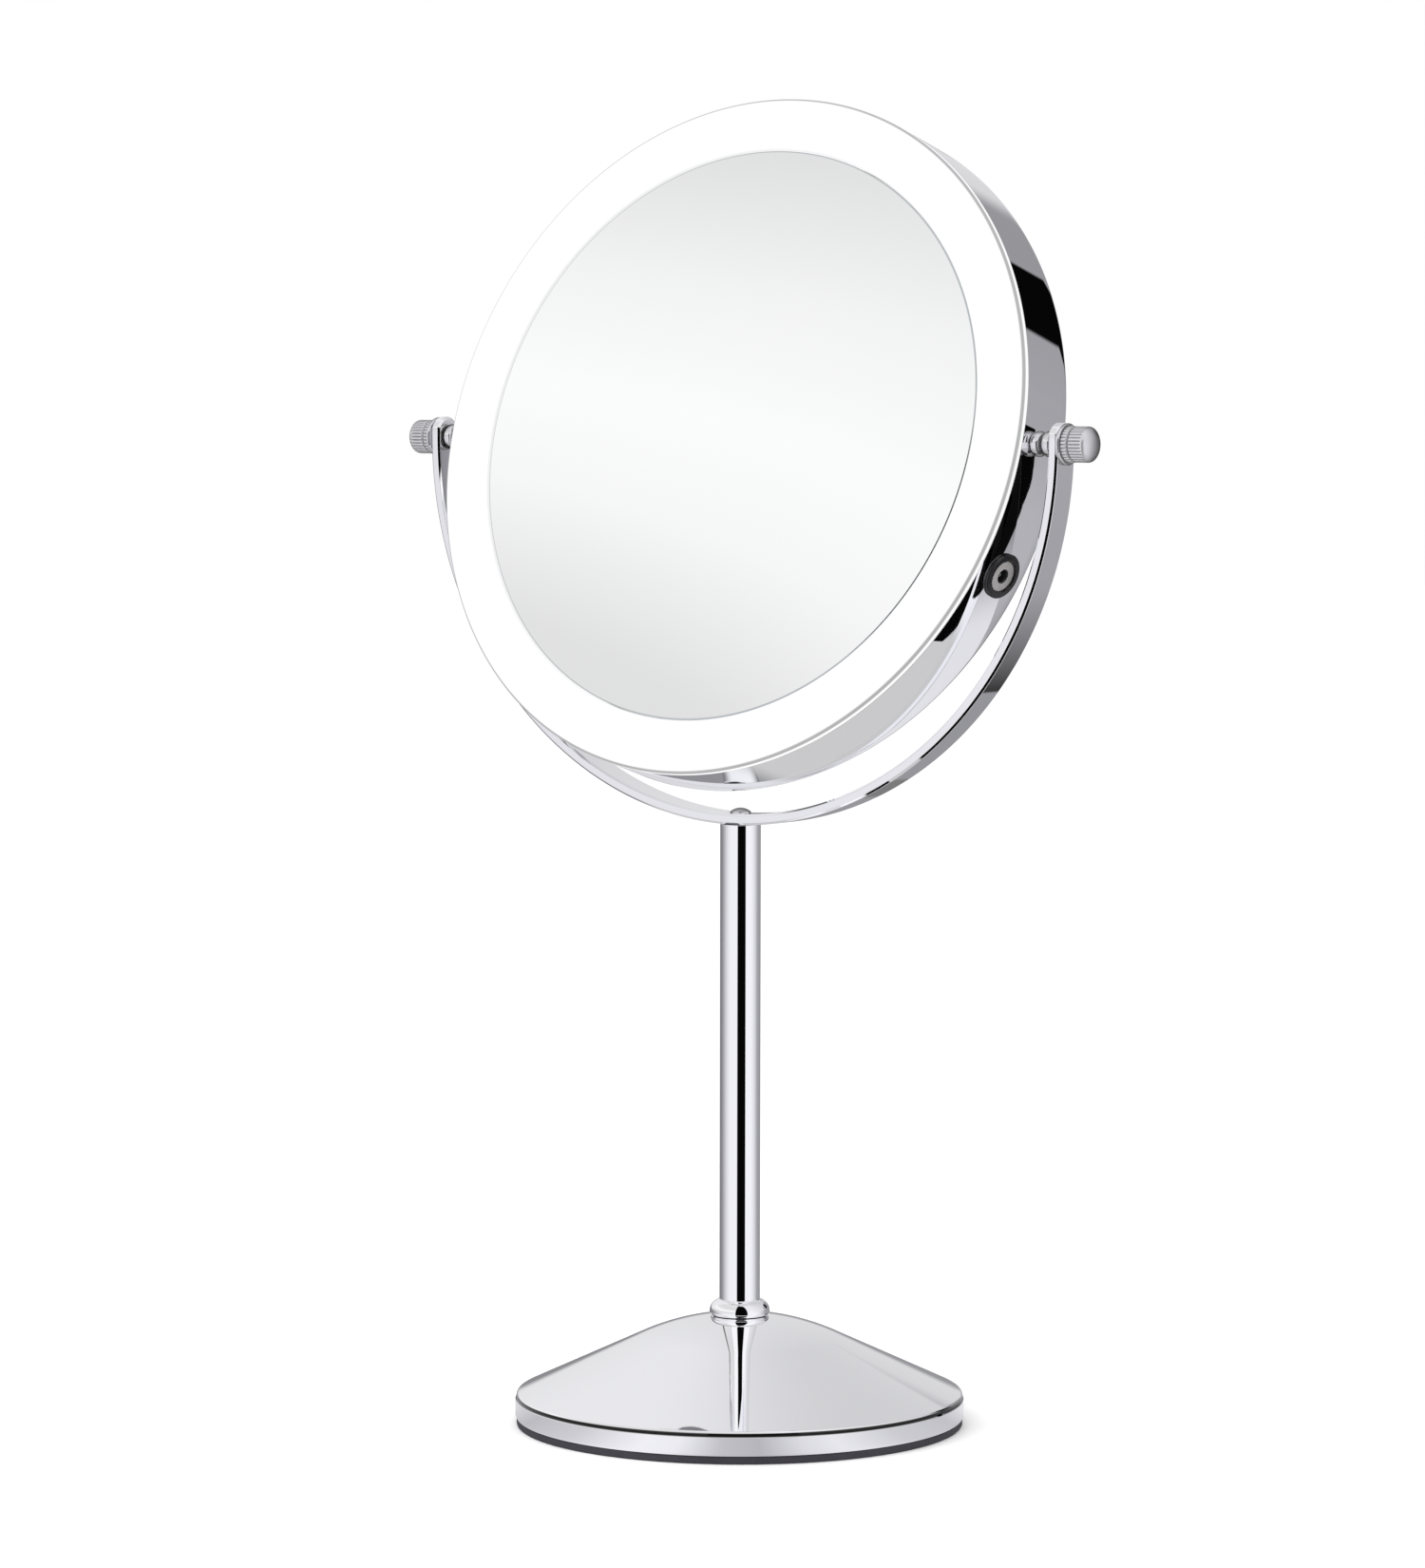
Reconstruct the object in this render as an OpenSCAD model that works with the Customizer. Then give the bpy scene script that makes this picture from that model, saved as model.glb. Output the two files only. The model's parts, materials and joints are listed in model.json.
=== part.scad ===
// Lighted vanity mirror: a two-sided, drum-shaped head with a light ring, tilting in a bent strip
// yoke on a column and a weighted cone base. Millimetres, +Z up, origin at the centre of the pad's
// underside, +X along the tilt axis, the lit mirror faces -Y.

/* [Base] */
// Radius of the rim band
base_r = 70.3; // [66:0.5:80]
// Height of the cone's rounded top, before it is cut flat for the column
apex_z = 34.6; // [33:0.2:37]
// Radius of the rounded top
cap_r = 76; // [72:1:80]
// Slope of the cone's straight stretch, in degrees
cone_slope = 25; // [24.6:0.1:25.4]
// Thickness of the soft pad
pad_h = 2.5; // [1.5:0.1:3]

/* [Column] */
// Outer diameter of the column tube
column_d = 12.7; // [12.4:0.1:13]
// Height of the column's top end above the table
column_top_z = 188.4; // [150:1:260]

/* [Yoke] */
// Outer radius of the bent strip
yoke_r = 119.2; // [118.8:0.1:121]
// Thickness of the strip
yoke_t = 3.4; // [2.8:0.1:3.6]
// Width of the strip
yoke_w = 10.3; // [9.6:0.1:10.8]
// How far the arm tips rise above the tilt axis
tip_h = 6.5; // [6:0.1:7]

/* [Head] */
// Outer radius of the drum
drum_r = 108; // [107.5:0.1:108.2]
// Distance from the tilt axis to the front face of the light ring
front_z = 8.9; // [8.5:0.1:10]
// Distance from the tilt axis to the rear face of the drum
rear_depth = 16.9; // [16.5:0.1:18]
// Visible radius of the magnifying mirror
glass_r = 91.2; // [90.5:0.1:91.5]
// Radius of curvature of the magnifying mirror
mirror_curve_r = 560; // [500:10:700]
// How far the head leans back at rest, in degrees
tilt = 16.2; // [0:0.1:60]

/* [Thumb screws] */
// Radius of the knurled grip
knob_r = 5.4; // [5:0.1:5.8]
// Number of ribs round the grip
knob_ribs = 30; // [24:1:36]
// Radius of the threaded stud
stud_r = 2; // [1.9:0.05:2.1]

/* [Socket] */
// How far round from the tilt axis the power socket sits, in degrees
socket_angle = 21.5; // [18:0.5:24]
// Radius of the black bezel
bezel_r = 7.1; // [7:0.1:7.8]

/* [Hidden] */
$fn = 96;

gap = 0.05;                                // running clearance between parts that move or slide
eps = 0.5;                                 // overrun of a cutting tool past the face it cuts

// Base
cover_t = 1.2;                             // wall of the chrome cover
shoulder_r = 1.2;                          // rounding where the cone turns down to the rim
rim_step = 0.3;                            // how far the rim band stands out from the cone's edge
dome_edge_r = base_r - rim_step;
cap_z = apex_z - cap_r;                    // centre of the rounded top
shoulder_x = dome_edge_r - shoulder_r;
shoulder_z = (cap_z * cos(cone_slope) + cap_r - shoulder_r - shoulder_x * sin(cone_slope))
    / cos(cone_slope);                     // makes the cone tangent to both roundings
seat_r = 8;                                // flat on top of the cone, under the column
seat_z = cap_z + sqrt(cap_r * cap_r - seat_r * seat_r);
plate_t = 1.2;
plate_top = pad_h + plate_t;
weight_r = 60;
weight_room = 0.45;                        // between the iron disc's edge and the cover
weight_top = inner_cone_z(weight_r) - weight_room;
hub_top = seat_z - 1.44;
bolt_r = 3.95;                             // M8 column bolt
bolt_hole_r = 4.3;
bolt_l = 38;                               // shank of the column bolt
bolt_head_r = 6.5;
bolt_head_h = 4.4;
hex_key_r = 3.4;                           // corner radius of the hexagon in the bolt's head
hex_key_depth = 2.5;
counterbore_r = 9;
bolt_washer_t = 1.2;
bolt_washer_z = pad_h + 0.1 + bolt_head_h;
plate_screw_ring = 40;                     // four sunk screws stand on this radius
plate_screw_r = 1.5;
plate_screw_head_r = 3;
plate_screw_end = 9.5;                     // height of the screws' tips

// Column
column_r = column_d / 2;
column_bore_r = column_r - 1;
plug_r = column_bore_r - gap;
foot_plug_h = 20;
head_plug_h = 14;
collar_h = 5.1;
collar_r = 9.45;
collar_bulge_r = 4;                        // radius of its bulging side
collar_foot_r = 1.2;                       // rounding at its foot

// Yoke and pivots, measured outwards along the tilt axis
pivot_z = column_top_z + yoke_r;
yoke_inner_r = yoke_r - yoke_t;
strip_chamfer = 0.7;
tip_r = 5.5;
arm_hole_r = 3;
bore_r = stud_r + gap;                     // every piece the stud passes through
friction_washer_t = 0.6;
bead_l = (yoke_inner_r - drum_r - friction_washer_t - 2 * gap) / 2;
inner_bead_x = drum_r;
friction_washer_x = inner_bead_x + bead_l + gap;
outer_bead_x = friction_washer_x + friction_washer_t;
arm_washer_t = 1.1;
knob_x = yoke_r + arm_washer_t + gap;
knob_ring_l = 2;
knob_groove_l = 0.5;
knob_grip_l = 4.3;
knob_dome_h = 2.4;
rib_depth = 0.25;
stud_start_x = 99.5;
stud_end_x = knob_x + 4;
yoke_screw_r = 1.95;                       // M4 pan-head screw
yoke_screw_l = 13;
yoke_screw_head_r = 3.25;
yoke_screw_edge_h = 0.7;                   // straight edge of the head, under its crown
yoke_screw_crown_r = 5;
yoke_seat_depth = 0.15;                    // flat spot under the screw's head

// Head, in its own frame: z towards the lit side, y up, x along the tilt axis
drum_t = 1.2;
drum_inner_r = drum_r - drum_t;
drum_rear_z = -rear_depth;
drum_round = 2;
lip_h = 2.3;                               // height of the light ring's edge beyond the drum
drum_front_z = front_z - lip_h;
rear_window_r = 102;
rear_glass_r = 104.4;
glass_t = 2;
tape_t = 0.5;
rear_glass_z = drum_rear_z + drum_t + gap;
frame_r = 104.6;
floor_z = rear_glass_z + glass_t + 0.7;
floor_t = 1.6;
floor_top = floor_z + floor_t;
shelf_top = floor_top + 5.4;
shelf_t = 1.4;
frame_wall_t = 1.4;
inner_wall_r = glass_r - 0.3;
inner_wall_t = 2.3;
ledge_t = 2.6;
ledge_r = 84;                              // inner radius of the ledge the magnifying mirror rests on
mirror_r = glass_r - 0.2;
mirror_rim_z = front_z - 0.4;
mirror_centre_z = mirror_rim_z + sqrt(mirror_curve_r * mirror_curve_r - mirror_r * mirror_r);
ring_t = 2;
skirt_h = 2.3;
led_board_t = 1.2;
led_board_in = 92;
led_board_out = 103.8;
led_ring_r = 98;
led_size = [2.8, 3.5, 1.4];
led_step = 6;
boss_r = 4.2;
boss_start_x = 98.5;
boss_end_x = 106.6;
boss_neck_r = 2.9;

// Electronics on the frame's floor
board_at = [48, -16];
board_size = [46, 32, 1.2];
standoff_h = 2;
standoff_r = 2.4;
board_screw_r = 0.8;
board_z = floor_top + standoff_h;
battery_at = [-24, 6];
battery_size = [78, 52, 6];
touch_at = [0, -72];
touch_board_size = [18, 12, 1];
touch_contact_r = 4;
wire_r = 0.6;
wire_gap = 0.1;                            // how far a wire's end stays off the piece it meets
wire_pair = 1.5;                           // half the distance between the two wires of a pair

// Socket, in its own frame: z outwards from the drum's surface
socket_z = -5.2;                           // behind the tilt axis
barrel_r = 6.2;
barrel_l = 6;
socket_hole_r = 6.3;
insert_r = 4.8;
insert_t = 3.5;
insert_proud = 0.5;
plug_hole_r = 1.85;                        // takes a 3.5 mm barrel plug
pin_r = 0.6;
body_l = 10;
pin_seat_z = -10;
notch_w = 14;                              // opening in the frame and lamp board for the socket
notch_depth = 16.5;
notch_back = 7;                            // how far it reaches from the socket's axis to the lit side
notch_sunk = 0.3;                          // how deep it is cut into the frame's floor
wire_hole_r = 2.6;
led_wire_angle = 20;                       // where the lamp wires pass the frame's wall

// Points of an arc about [cx, cz], from angle a0 to a1
function arc(cx, cz, r, a0, a1, steps = 12) =
    [for (i = [0:steps]) let (a = a0 + (a1 - a0) * i / steps) [cx + r * cos(a), cz + r * sin(a)]];

// Height of the cover's inner wall over its straight stretch, at radius r
function inner_cone_z(r) =
    (cap_z * cos(cone_slope) + cap_r - cover_t - r * sin(cone_slope)) / cos(cone_slope);

// Height of the spherical surface r_sphere about the magnifying mirror's centre, at radius r
function bowl_z(r_sphere, r) = mirror_centre_z - sqrt(r_sphere * r_sphere - r * r);

// A rectangle with its four corners cut
module cut_rectangle(size, cut) {
    x = size[0] / 2;
    y = size[1] / 2;
    polygon([
        [x - cut, -y], [x, -y + cut], [x, y - cut], [x - cut, y],
        [-x + cut, y], [-x, y - cut], [-x, -y + cut], [-x + cut, -y]
    ]);
}

module tube(r_out, r_in, h) {
    difference() {
        cylinder(r = r_out, h = h);
        translate([0, 0, -eps]) cylinder(r = r_in, h = h + 2 * eps);
    }
}

// Puts a piece drawn along +Z on the tilt axis, x_start out from the centre; side is -1 or 1
module on_axis(side, x_start) {
    translate([0, 0, pivot_z]) rotate([0, side * 90, 0]) translate([0, 0, x_start]) children();
}

module on_head() {
    translate([0, 0, pivot_z]) rotate([90 - tilt, 0, 0]) children();
}

module on_socket() {
    on_head() rotate([0, 0, -socket_angle]) translate([drum_r, 0, socket_z]) rotate([0, 90, 0]) children();
}

// ---- base ----

module base_pad() {
    color("#37343e") cylinder(r = base_r - 0.4, h = pad_h);
}

module base_plate() {
    color("#8a8c90") difference() {
        translate([0, 0, pad_h]) cylinder(r = base_r - 1.8, h = plate_t);
        cylinder(r = counterbore_r, h = plate_top + eps);
        for (a = [45:90:315]) rotate([0, 0, a]) translate([plate_screw_ring, 0, pad_h])
            cylinder(r1 = plate_screw_head_r + 0.1, r2 = plate_screw_r + 0.1, h = plate_t);
    }
}

module base_screws() {
    color("#b8bac0") for (a = [45:90:315]) rotate([0, 0, a]) translate([plate_screw_ring, 0, 0]) {
        translate([0, 0, pad_h + gap])
            cylinder(r1 = plate_screw_head_r, r2 = plate_screw_r, h = plate_t - gap);
        translate([0, 0, plate_top]) cylinder(r = plate_screw_r, h = plate_screw_end - plate_top);
    }
}

module base_weight() {
    color("#4a4a4c") difference() {
        union() {
            translate([0, 0, plate_top]) cylinder(r = weight_r, h = weight_top - plate_top);
            translate([0, 0, plate_top]) cylinder(r = seat_r, h = hub_top - plate_top);
        }
        cylinder(r = bolt_hole_r, h = apex_z);
        cylinder(r = counterbore_r, h = bolt_washer_z + bolt_washer_t);
        for (a = [45:90:315]) rotate([0, 0, a]) translate([plate_screw_ring, 0, 0])
            cylinder(r = plate_screw_r + gap, h = plate_screw_end + 0.5);
    }
}

module base_cover() {
    side = 90 - cone_slope;
    crease = 0.3;
    inner_cap_r = cap_r - cover_t;
    inner_edge_r = dome_edge_r - cover_t;
    outside = concat(
        [[bolt_hole_r, seat_z], [seat_r, seat_z]],
        arc(0, cap_z, cap_r, acos(seat_r / cap_r), side),
        arc(shoulder_x, shoulder_z, shoulder_r, side, 0),
        [
            [dome_edge_r - crease, shoulder_z - crease],
            [base_r - crease, shoulder_z - 2 * crease],
            [base_r, shoulder_z - 3 * crease],
            [base_r, pad_h + 2 * crease],
            [base_r - crease, pad_h]
        ]
    );
    inside = concat(
        [[inner_edge_r, pad_h], [inner_edge_r, inner_cone_z(inner_edge_r)]],
        arc(0, cap_z, inner_cap_r, side, acos(bolt_hole_r / inner_cap_r))
    );
    color("#d8d9dc") rotate_extrude() polygon(concat(outside, inside));
}

module column_bolt() {
    head_z = bolt_washer_z - bolt_head_h;
    color("#9a9ca0") difference() {
        union() {
            translate([0, 0, head_z]) cylinder(r = bolt_head_r, h = bolt_head_h);
            translate([0, 0, bolt_washer_z]) cylinder(r = bolt_r, h = bolt_l);
        }
        translate([0, 0, head_z - eps]) cylinder(r = hex_key_r, h = hex_key_depth + eps, $fn = 6);
    }
}

module column_bolt_washer() {
    color("#b8bac0") translate([0, 0, bolt_washer_z]) tube(bolt_head_r + 1.5, bolt_r + gap, bolt_washer_t);
}

// ---- column ----

module column_foot_plug() {
    color("#8a8c90") translate([0, 0, seat_z]) tube(plug_r, bolt_r + gap, foot_plug_h);
}

module column_collar() {
    lip = 0.3;
    top_angle = asin((collar_h - lip - collar_foot_r) / collar_bulge_r);
    top_r = collar_r - collar_bulge_r + collar_bulge_r * cos(top_angle);
    color("#d8d9dc") translate([0, 0, seat_z]) rotate_extrude() polygon(concat(
        [[column_r + gap, 0]],
        arc(collar_r - collar_foot_r, collar_foot_r, collar_foot_r, -90, -7.5, 11),
        arc(collar_r - collar_bulge_r, collar_foot_r, collar_bulge_r, 0, top_angle),
        [[top_r - lip, collar_h], [column_r + gap, collar_h]]
    ));
}

module column_tube() {
    color("#e2e3e6") translate([0, 0, seat_z]) tube(column_r, column_bore_r, column_top_z - seat_z);
}

module column_head_plug() {
    color("#8a8c90") translate([0, 0, column_top_z - head_plug_h])
        tube(plug_r, yoke_screw_r + gap, head_plug_h - 0.2);
}

// ---- yoke ----

module yoke() {
    strip_x = yoke_r - yoke_t / 2;
    color("#d8d9dc") translate([0, 0, pivot_z]) difference() {
        union() {
            rotate([90, 0, 0]) rotate([0, 0, 180]) rotate_extrude(angle = 180)
                translate([strip_x, 0]) cut_rectangle([yoke_t, yoke_w], strip_chamfer);
            for (side = [-1, 1]) translate([side * strip_x, 0, 0]) intersection() {
                linear_extrude(tip_h) cut_rectangle([yoke_t, yoke_w], strip_chamfer);
                translate([0, 0, tip_h - tip_r]) rotate([0, 90, 0])
                    cylinder(r = tip_r, h = yoke_t + eps, center = true);
            }
        }
        rotate([0, 90, 0]) cylinder(r = arm_hole_r, h = 2 * yoke_r + eps, center = true);
        translate([0, 0, -yoke_r - eps]) cylinder(r = yoke_screw_r + gap, h = yoke_t + 2 * eps);
        translate([0, 0, -yoke_inner_r - yoke_seat_depth]) cylinder(r = yoke_screw_head_r + 0.15, h = 1);
    }
}

module yoke_screw() {
    seat = pivot_z - yoke_inner_r - yoke_seat_depth;
    crown = acos(yoke_screw_head_r / yoke_screw_crown_r);
    crown_z = yoke_screw_edge_h - yoke_screw_crown_r * sin(crown);
    head_h = crown_z + yoke_screw_crown_r;
    slot = [0.8, 3.4, 2.4];
    color("#c4c5c9") difference() {
        union() {
            translate([0, 0, seat]) rotate_extrude() polygon(concat(
                [[0, 0], [yoke_screw_head_r, 0]],
                arc(0, crown_z, yoke_screw_crown_r, crown, 90)
            ));
            translate([0, 0, seat - yoke_screw_l]) cylinder(r = yoke_screw_r, h = yoke_screw_l);
        }
        for (a = [0, 90]) translate([0, 0, seat + head_h]) rotate([0, 0, a]) cube(slot, center = true);
    }
}

// ---- pivots ----

module bead(r) {
    round_r = 1.5;
    rotate_extrude() polygon(concat(
        [[bore_r, 0]],
        arc(r - round_r, round_r, round_r, -90, 0, 8),
        arc(r - round_r, bead_l - round_r, round_r, 0, 90, 8),
        [[bore_r, bead_l]]
    ));
}

module arm_bush(side) {
    color("#efece2") on_axis(side, yoke_inner_r + gap) tube(arm_hole_r - gap, bore_r, yoke_t - 2 * gap);
}

module arm_washer(side) {
    edge = 0.3;
    r = 6.3;
    color("#c4c5c9") on_axis(side, yoke_r) rotate_extrude() polygon([
        [bore_r, 0], [r - edge, 0], [r, edge], [r, arm_washer_t - edge],
        [r - edge, arm_washer_t], [bore_r, arm_washer_t]
    ]);
}

module outer_bead(side) {
    color("#d8d9dc") on_axis(side, outer_bead_x) bead(4.1);
}

module friction_washer(side) {
    color("#efece2") on_axis(side, friction_washer_x) tube(3.2, bore_r, friction_washer_t);
}

module inner_bead(side) {
    color("#d8d9dc") on_axis(side, inner_bead_x) bead(3.9);
}

module pivot_boss(side) {
    color("#c9a24a") on_axis(side, boss_start_x) difference() {
        union() {
            cylinder(r = boss_r, h = boss_end_x - boss_start_x);
            cylinder(r = boss_neck_r, h = drum_r - 0.2 - boss_start_x);
        }
        translate([0, 0, -eps]) cylinder(r = bore_r, h = drum_r);
    }
}

// A ribbed ring, as a toothed outline pushed up by h
module ribbed(r, h) {
    step = 360 / knob_ribs;
    linear_extrude(h) polygon([
        for (i = [0:knob_ribs - 1], k = [0:3])
            (r - (k < 2 ? 0 : rib_depth)) * [cos((i + k / 4) * step), sin((i + k / 4) * step)]
    ]);
}

module knob(side) {
    grip_z = knob_ring_l + knob_groove_l;
    dome_z = grip_z + knob_grip_l;
    dome_r = knob_r - rib_depth - gap;         // stands just inside the ribs
    color("#c4c5c9") on_axis(side, knob_x) difference() {
        union() {
            ribbed(knob_r + 0.15, knob_ring_l);
            translate([0, 0, knob_ring_l]) cylinder(r = knob_r - 0.5, h = knob_groove_l);
            translate([0, 0, grip_z]) ribbed(knob_r, knob_grip_l);
            translate([0, 0, dome_z]) rotate_extrude() polygon(concat(
                [[0, 0]],
                [for (a = [0:6:90]) [dome_r * cos(a), knob_dome_h * sin(a)]]
            ));
        }
        translate([0, 0, -eps]) cylinder(r = stud_r + 0.02, h = stud_end_x - knob_x + eps);
    }
}

module knob_stud(side) {
    color("#9a9ca0") on_axis(side, stud_start_x) cylinder(r = stud_r, h = stud_end_x - stud_start_x);
}

// ---- head ----

module drum() {
    color("#d8d9dc") difference() {
        on_head() rotate_extrude() polygon(concat(
            [[drum_inner_r, drum_front_z], [drum_r, drum_front_z]],
            arc(drum_r - drum_round, drum_rear_z + drum_round, drum_round, 0, -90, 8),
            [
                [rear_window_r, drum_rear_z],
                [rear_window_r, drum_rear_z + drum_t],
                [drum_inner_r - drum_t, drum_rear_z + drum_t],
                [drum_inner_r, drum_rear_z + 2 * drum_t]
            ]
        ));
        for (side = [-1, 1]) on_axis(side, drum_inner_r - 2) cylinder(r = boss_neck_r + gap, h = 4);
        on_socket() translate([0, 0, -3]) cylinder(r = socket_hole_r, h = 4);
    }
}

module light_ring() {
    outer_round = 1.2;
    inner_round = 0.6;
    skirt_t = 1.7;
    back_z = front_z - ring_t;
    skirt_z = back_z - skirt_h;
    color("#fbfbfb") on_head() rotate_extrude() polygon(concat(
        arc(glass_r + inner_round, front_z - inner_round, inner_round, 180, 90, 6),
        arc(drum_r - outer_round, front_z - outer_round, outer_round, 90, 0, 8),
        [
            [drum_r, drum_front_z], [drum_inner_r - gap, drum_front_z], [drum_inner_r - gap, skirt_z],
            [drum_inner_r - skirt_t, skirt_z], [drum_inner_r - skirt_t, back_z],
            [glass_r + skirt_t, back_z], [glass_r + skirt_t, skirt_z], [glass_r, skirt_z]
        ]
    ));
}

// A ring or disc cut from a spherical shell about the magnifying mirror's centre
module bowl(r_near, thickness, r_in, r_out) {
    far = r_near + thickness;
    steps = 16;
    rotate_extrude() polygon(concat(
        [for (i = [0:steps]) let (r = r_in + (r_out - r_in) * i / steps) [r, bowl_z(r_near, r)]],
        [for (i = [steps:-1:0]) let (r = r_in + (r_out - r_in) * i / steps) [r, bowl_z(far, r)]]
    ));
}

module front_mirror() {
    color("#dfe4e8") on_head() bowl(mirror_curve_r, glass_t, 0, mirror_r);
}

module front_mirror_tape() {
    color("#f2f2ee") on_head() bowl(mirror_curve_r + glass_t, tape_t, ledge_r + 1, inner_wall_r - 1);
}

module rear_mirror() {
    color("#dfe4e8") on_head() translate([0, 0, rear_glass_z]) cylinder(r = rear_glass_r, h = glass_t);
}

module rear_mirror_tape() {
    z = rear_glass_z + glass_t;
    color("#f2f2ee") on_head() translate([0, 0, z])
        tube(rear_glass_r - 1.4, rear_glass_r - 9, floor_z - z);
}

module inner_frame() {
    seat_sphere = mirror_curve_r + glass_t + tape_t + gap;
    wall_in = inner_wall_r - inner_wall_t;
    ledge_z = bowl_z(seat_sphere, ledge_r) - ledge_t;
    steps = 4;
    color("#e9e9e7") difference() {
        union() {
            on_head() rotate_extrude() polygon(concat(
                [[0, floor_z], [frame_r, floor_z], [frame_r, shelf_top], [inner_wall_r, shelf_top]],
                [for (i = [0:steps]) let (r = inner_wall_r + (ledge_r - inner_wall_r) * i / steps)
                    [r, bowl_z(seat_sphere, r)]],
                [[ledge_r, ledge_z], [wall_in, ledge_z], [wall_in, floor_top], [0, floor_top]]
            ));
            on_head() for (spot = board_corners()) translate([spot[0], spot[1], floor_top - eps])
                cylinder(r = standoff_r, h = standoff_h + eps);
        }
        // the hollow channel under the lamp shelf
        on_head() translate([0, 0, floor_top])
            tube(frame_r - frame_wall_t, inner_wall_r, shelf_top - shelf_t - floor_top);
        on_head() for (spot = board_corners()) translate([spot[0], spot[1], floor_top])
            cylinder(r = board_screw_r, h = standoff_h + eps);
        on_socket() notch();
        on_socket() translate([0, 0, wall_in - eps - drum_r])
            cylinder(r = wire_hole_r, h = 2 * inner_wall_t);
        on_head() rotate([0, 0, led_wire_angle]) translate([0, 0, led_wire_z()]) rotate([0, 90, 0])
            translate([0, 0, wall_in - eps]) cylinder(r = wire_hole_r, h = 2 * inner_wall_t);
    }
}

// Clears the socket's inside from the lamp shelf; runs from the frame's wall out past the drum's surface
module notch() {
    translate([-notch_back, -notch_w / 2, -notch_depth])
        cube([notch_back + socket_z - floor_top + notch_sunk, notch_w, notch_depth + eps]);
}

module led_board() {
    color("#f4f4f0") difference() {
        on_head() translate([0, 0, shelf_top]) tube(led_board_out, led_board_in, led_board_t);
        on_socket() notch();
    }
}

module leds() {
    z = shelf_top + led_board_t;
    color("#fff4c8") on_head() for (a = [led_step / 2:led_step:360])
        if (abs(a - (360 - socket_angle)) > led_step * 0.8)
            rotate([0, 0, a]) translate([led_ring_r - led_size[0] / 2, -led_size[1] / 2, z]) cube(led_size);
}

// ---- electronics ----

function board_corners() = [
    for (x = [-1, 1], y = [-1, 1])
        [board_at[0] + x * (board_size[0] / 2 - 3), board_at[1] + y * (board_size[1] / 2 - 3)]
];

// Height of the light ring's wires where they pass the frame's wall
function led_wire_z() = shelf_top + led_board_t + 3.2;

module control_board() {
    color("#2f7d4f") on_head() difference() {
        translate([board_at[0], board_at[1], board_z + board_size[2] / 2]) cube(board_size, center = true);
        for (spot = board_corners()) translate([spot[0], spot[1], board_z - eps])
            cylinder(r = board_screw_r + 0.3, h = board_size[2] + 2 * eps);
    }
}

module board_parts() {
    z = board_z + board_size[2];
    color("#26262a") on_head() translate([board_at[0], board_at[1], z]) {
        // processor, touch chip, coil, capacitor, battery plug
        translate([-8, -3, 0]) cube([8, 8, 1.4]);
        translate([-16, 5, 0]) cube([5, 4, 1.2]);
        translate([6, -9, 0]) cylinder(r = 3, h = 3);
        translate([4, 4, 0]) cube([5, 5, 2.4]);
        translate([-14, -10, 0]) cube([7, 5, 2.6]);
    }
}

module board_screws() {
    z = board_z + board_size[2];
    tip_z = floor_top + 0.2;
    color("#b8bac0") on_head() for (spot = board_corners()) translate([spot[0], spot[1], 0]) {
        translate([0, 0, z]) cylinder(r = 2 * board_screw_r, h = 0.9);
        translate([0, 0, tip_z]) cylinder(r = board_screw_r - gap, h = z - tip_z);
    }
}

module battery() {
    color("#c9ccd2") on_head() translate([battery_at[0], battery_at[1], floor_top + tape_t])
        linear_extrude(battery_size[2]) cut_rectangle([battery_size[0], battery_size[1]], 1.5);
}

module battery_tape() {
    pad = [battery_size[0] - 16, battery_size[1] - 12, tape_t];
    color("#f2f2ee") on_head() translate([battery_at[0], battery_at[1], floor_top + tape_t / 2])
        cube(pad, center = true);
}

module touch_board() {
    color("#2f7d4f") on_head() translate([touch_at[0], touch_at[1], floor_top + touch_board_size[2] / 2])
        cube(touch_board_size, center = true);
}

// Soft conductive block between the touch board and the back of the magnifying mirror
module touch_contact() {
    z = floor_top + touch_board_size[2];
    reach = -touch_at[1] - touch_contact_r;
    top = bowl_z(mirror_curve_r + glass_t, reach) - 0.2;
    color("#55565a") on_head() translate([touch_at[0], touch_at[1], z])
        cylinder(r = touch_contact_r, h = top - z);
}

// A round wire through a list of points, with a ball at each bend
module wire(points) {
    for (i = [0:len(points) - 2]) {
        run = points[i + 1] - points[i];
        translate(points[i]) rotate([0, acos(run[2] / norm(run)), atan2(run[1], run[0])]) {
            cylinder(r = wire_r, h = norm(run));
            if (i > 0) sphere(r = wire_r * 1.2);
        }
    }
}

// A point in the head's frame at radius r, turned a degrees from the tilt axis, t along the rim
function polar(r, a, t, z) = [r * cos(a) - t * sin(a), r * sin(a) + t * cos(a), z];

function board_top() = board_z + board_size[2] + wire_r + wire_gap;

module socket_wires() {
    color("#b02a2a") on_head() for (t = [-1, 1]) {
        start = polar(drum_r - insert_t + insert_proud - body_l - wire_gap, -socket_angle, t, socket_z);
        wall = polar(80, -socket_angle, t, socket_z);
        wire([start, wall, [board_at[0] + 18, board_at[1] - 2 + t * wire_pair, board_top()]]);
    }
}

module battery_wires() {
    edge_x = battery_at[0] + battery_size[0] / 2;
    color("#b02a2a") on_head() for (t = [-1, 1])
        wire([
            [edge_x + wire_gap, -8 + t * wire_pair, floor_top + 4],
            [edge_x + 6, -8 + t * wire_pair, floor_top + 4],
            [board_at[0] - 20, -7 + t * wire_pair, board_top()]
        ]);
}

module led_wires() {
    color("#e8e8e8") on_head() for (t = [-1, 1])
        wire([
            polar(93.5, led_wire_angle, t * 1.2, led_wire_z() - 2.4),
            polar(92.8, led_wire_angle, t * 1.2, led_wire_z()),
            polar(80, led_wire_angle, t * 1.2, led_wire_z()),
            [board_at[0] + 12 - t * wire_pair, board_at[1] + 9, board_top()]
        ]);
}

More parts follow.
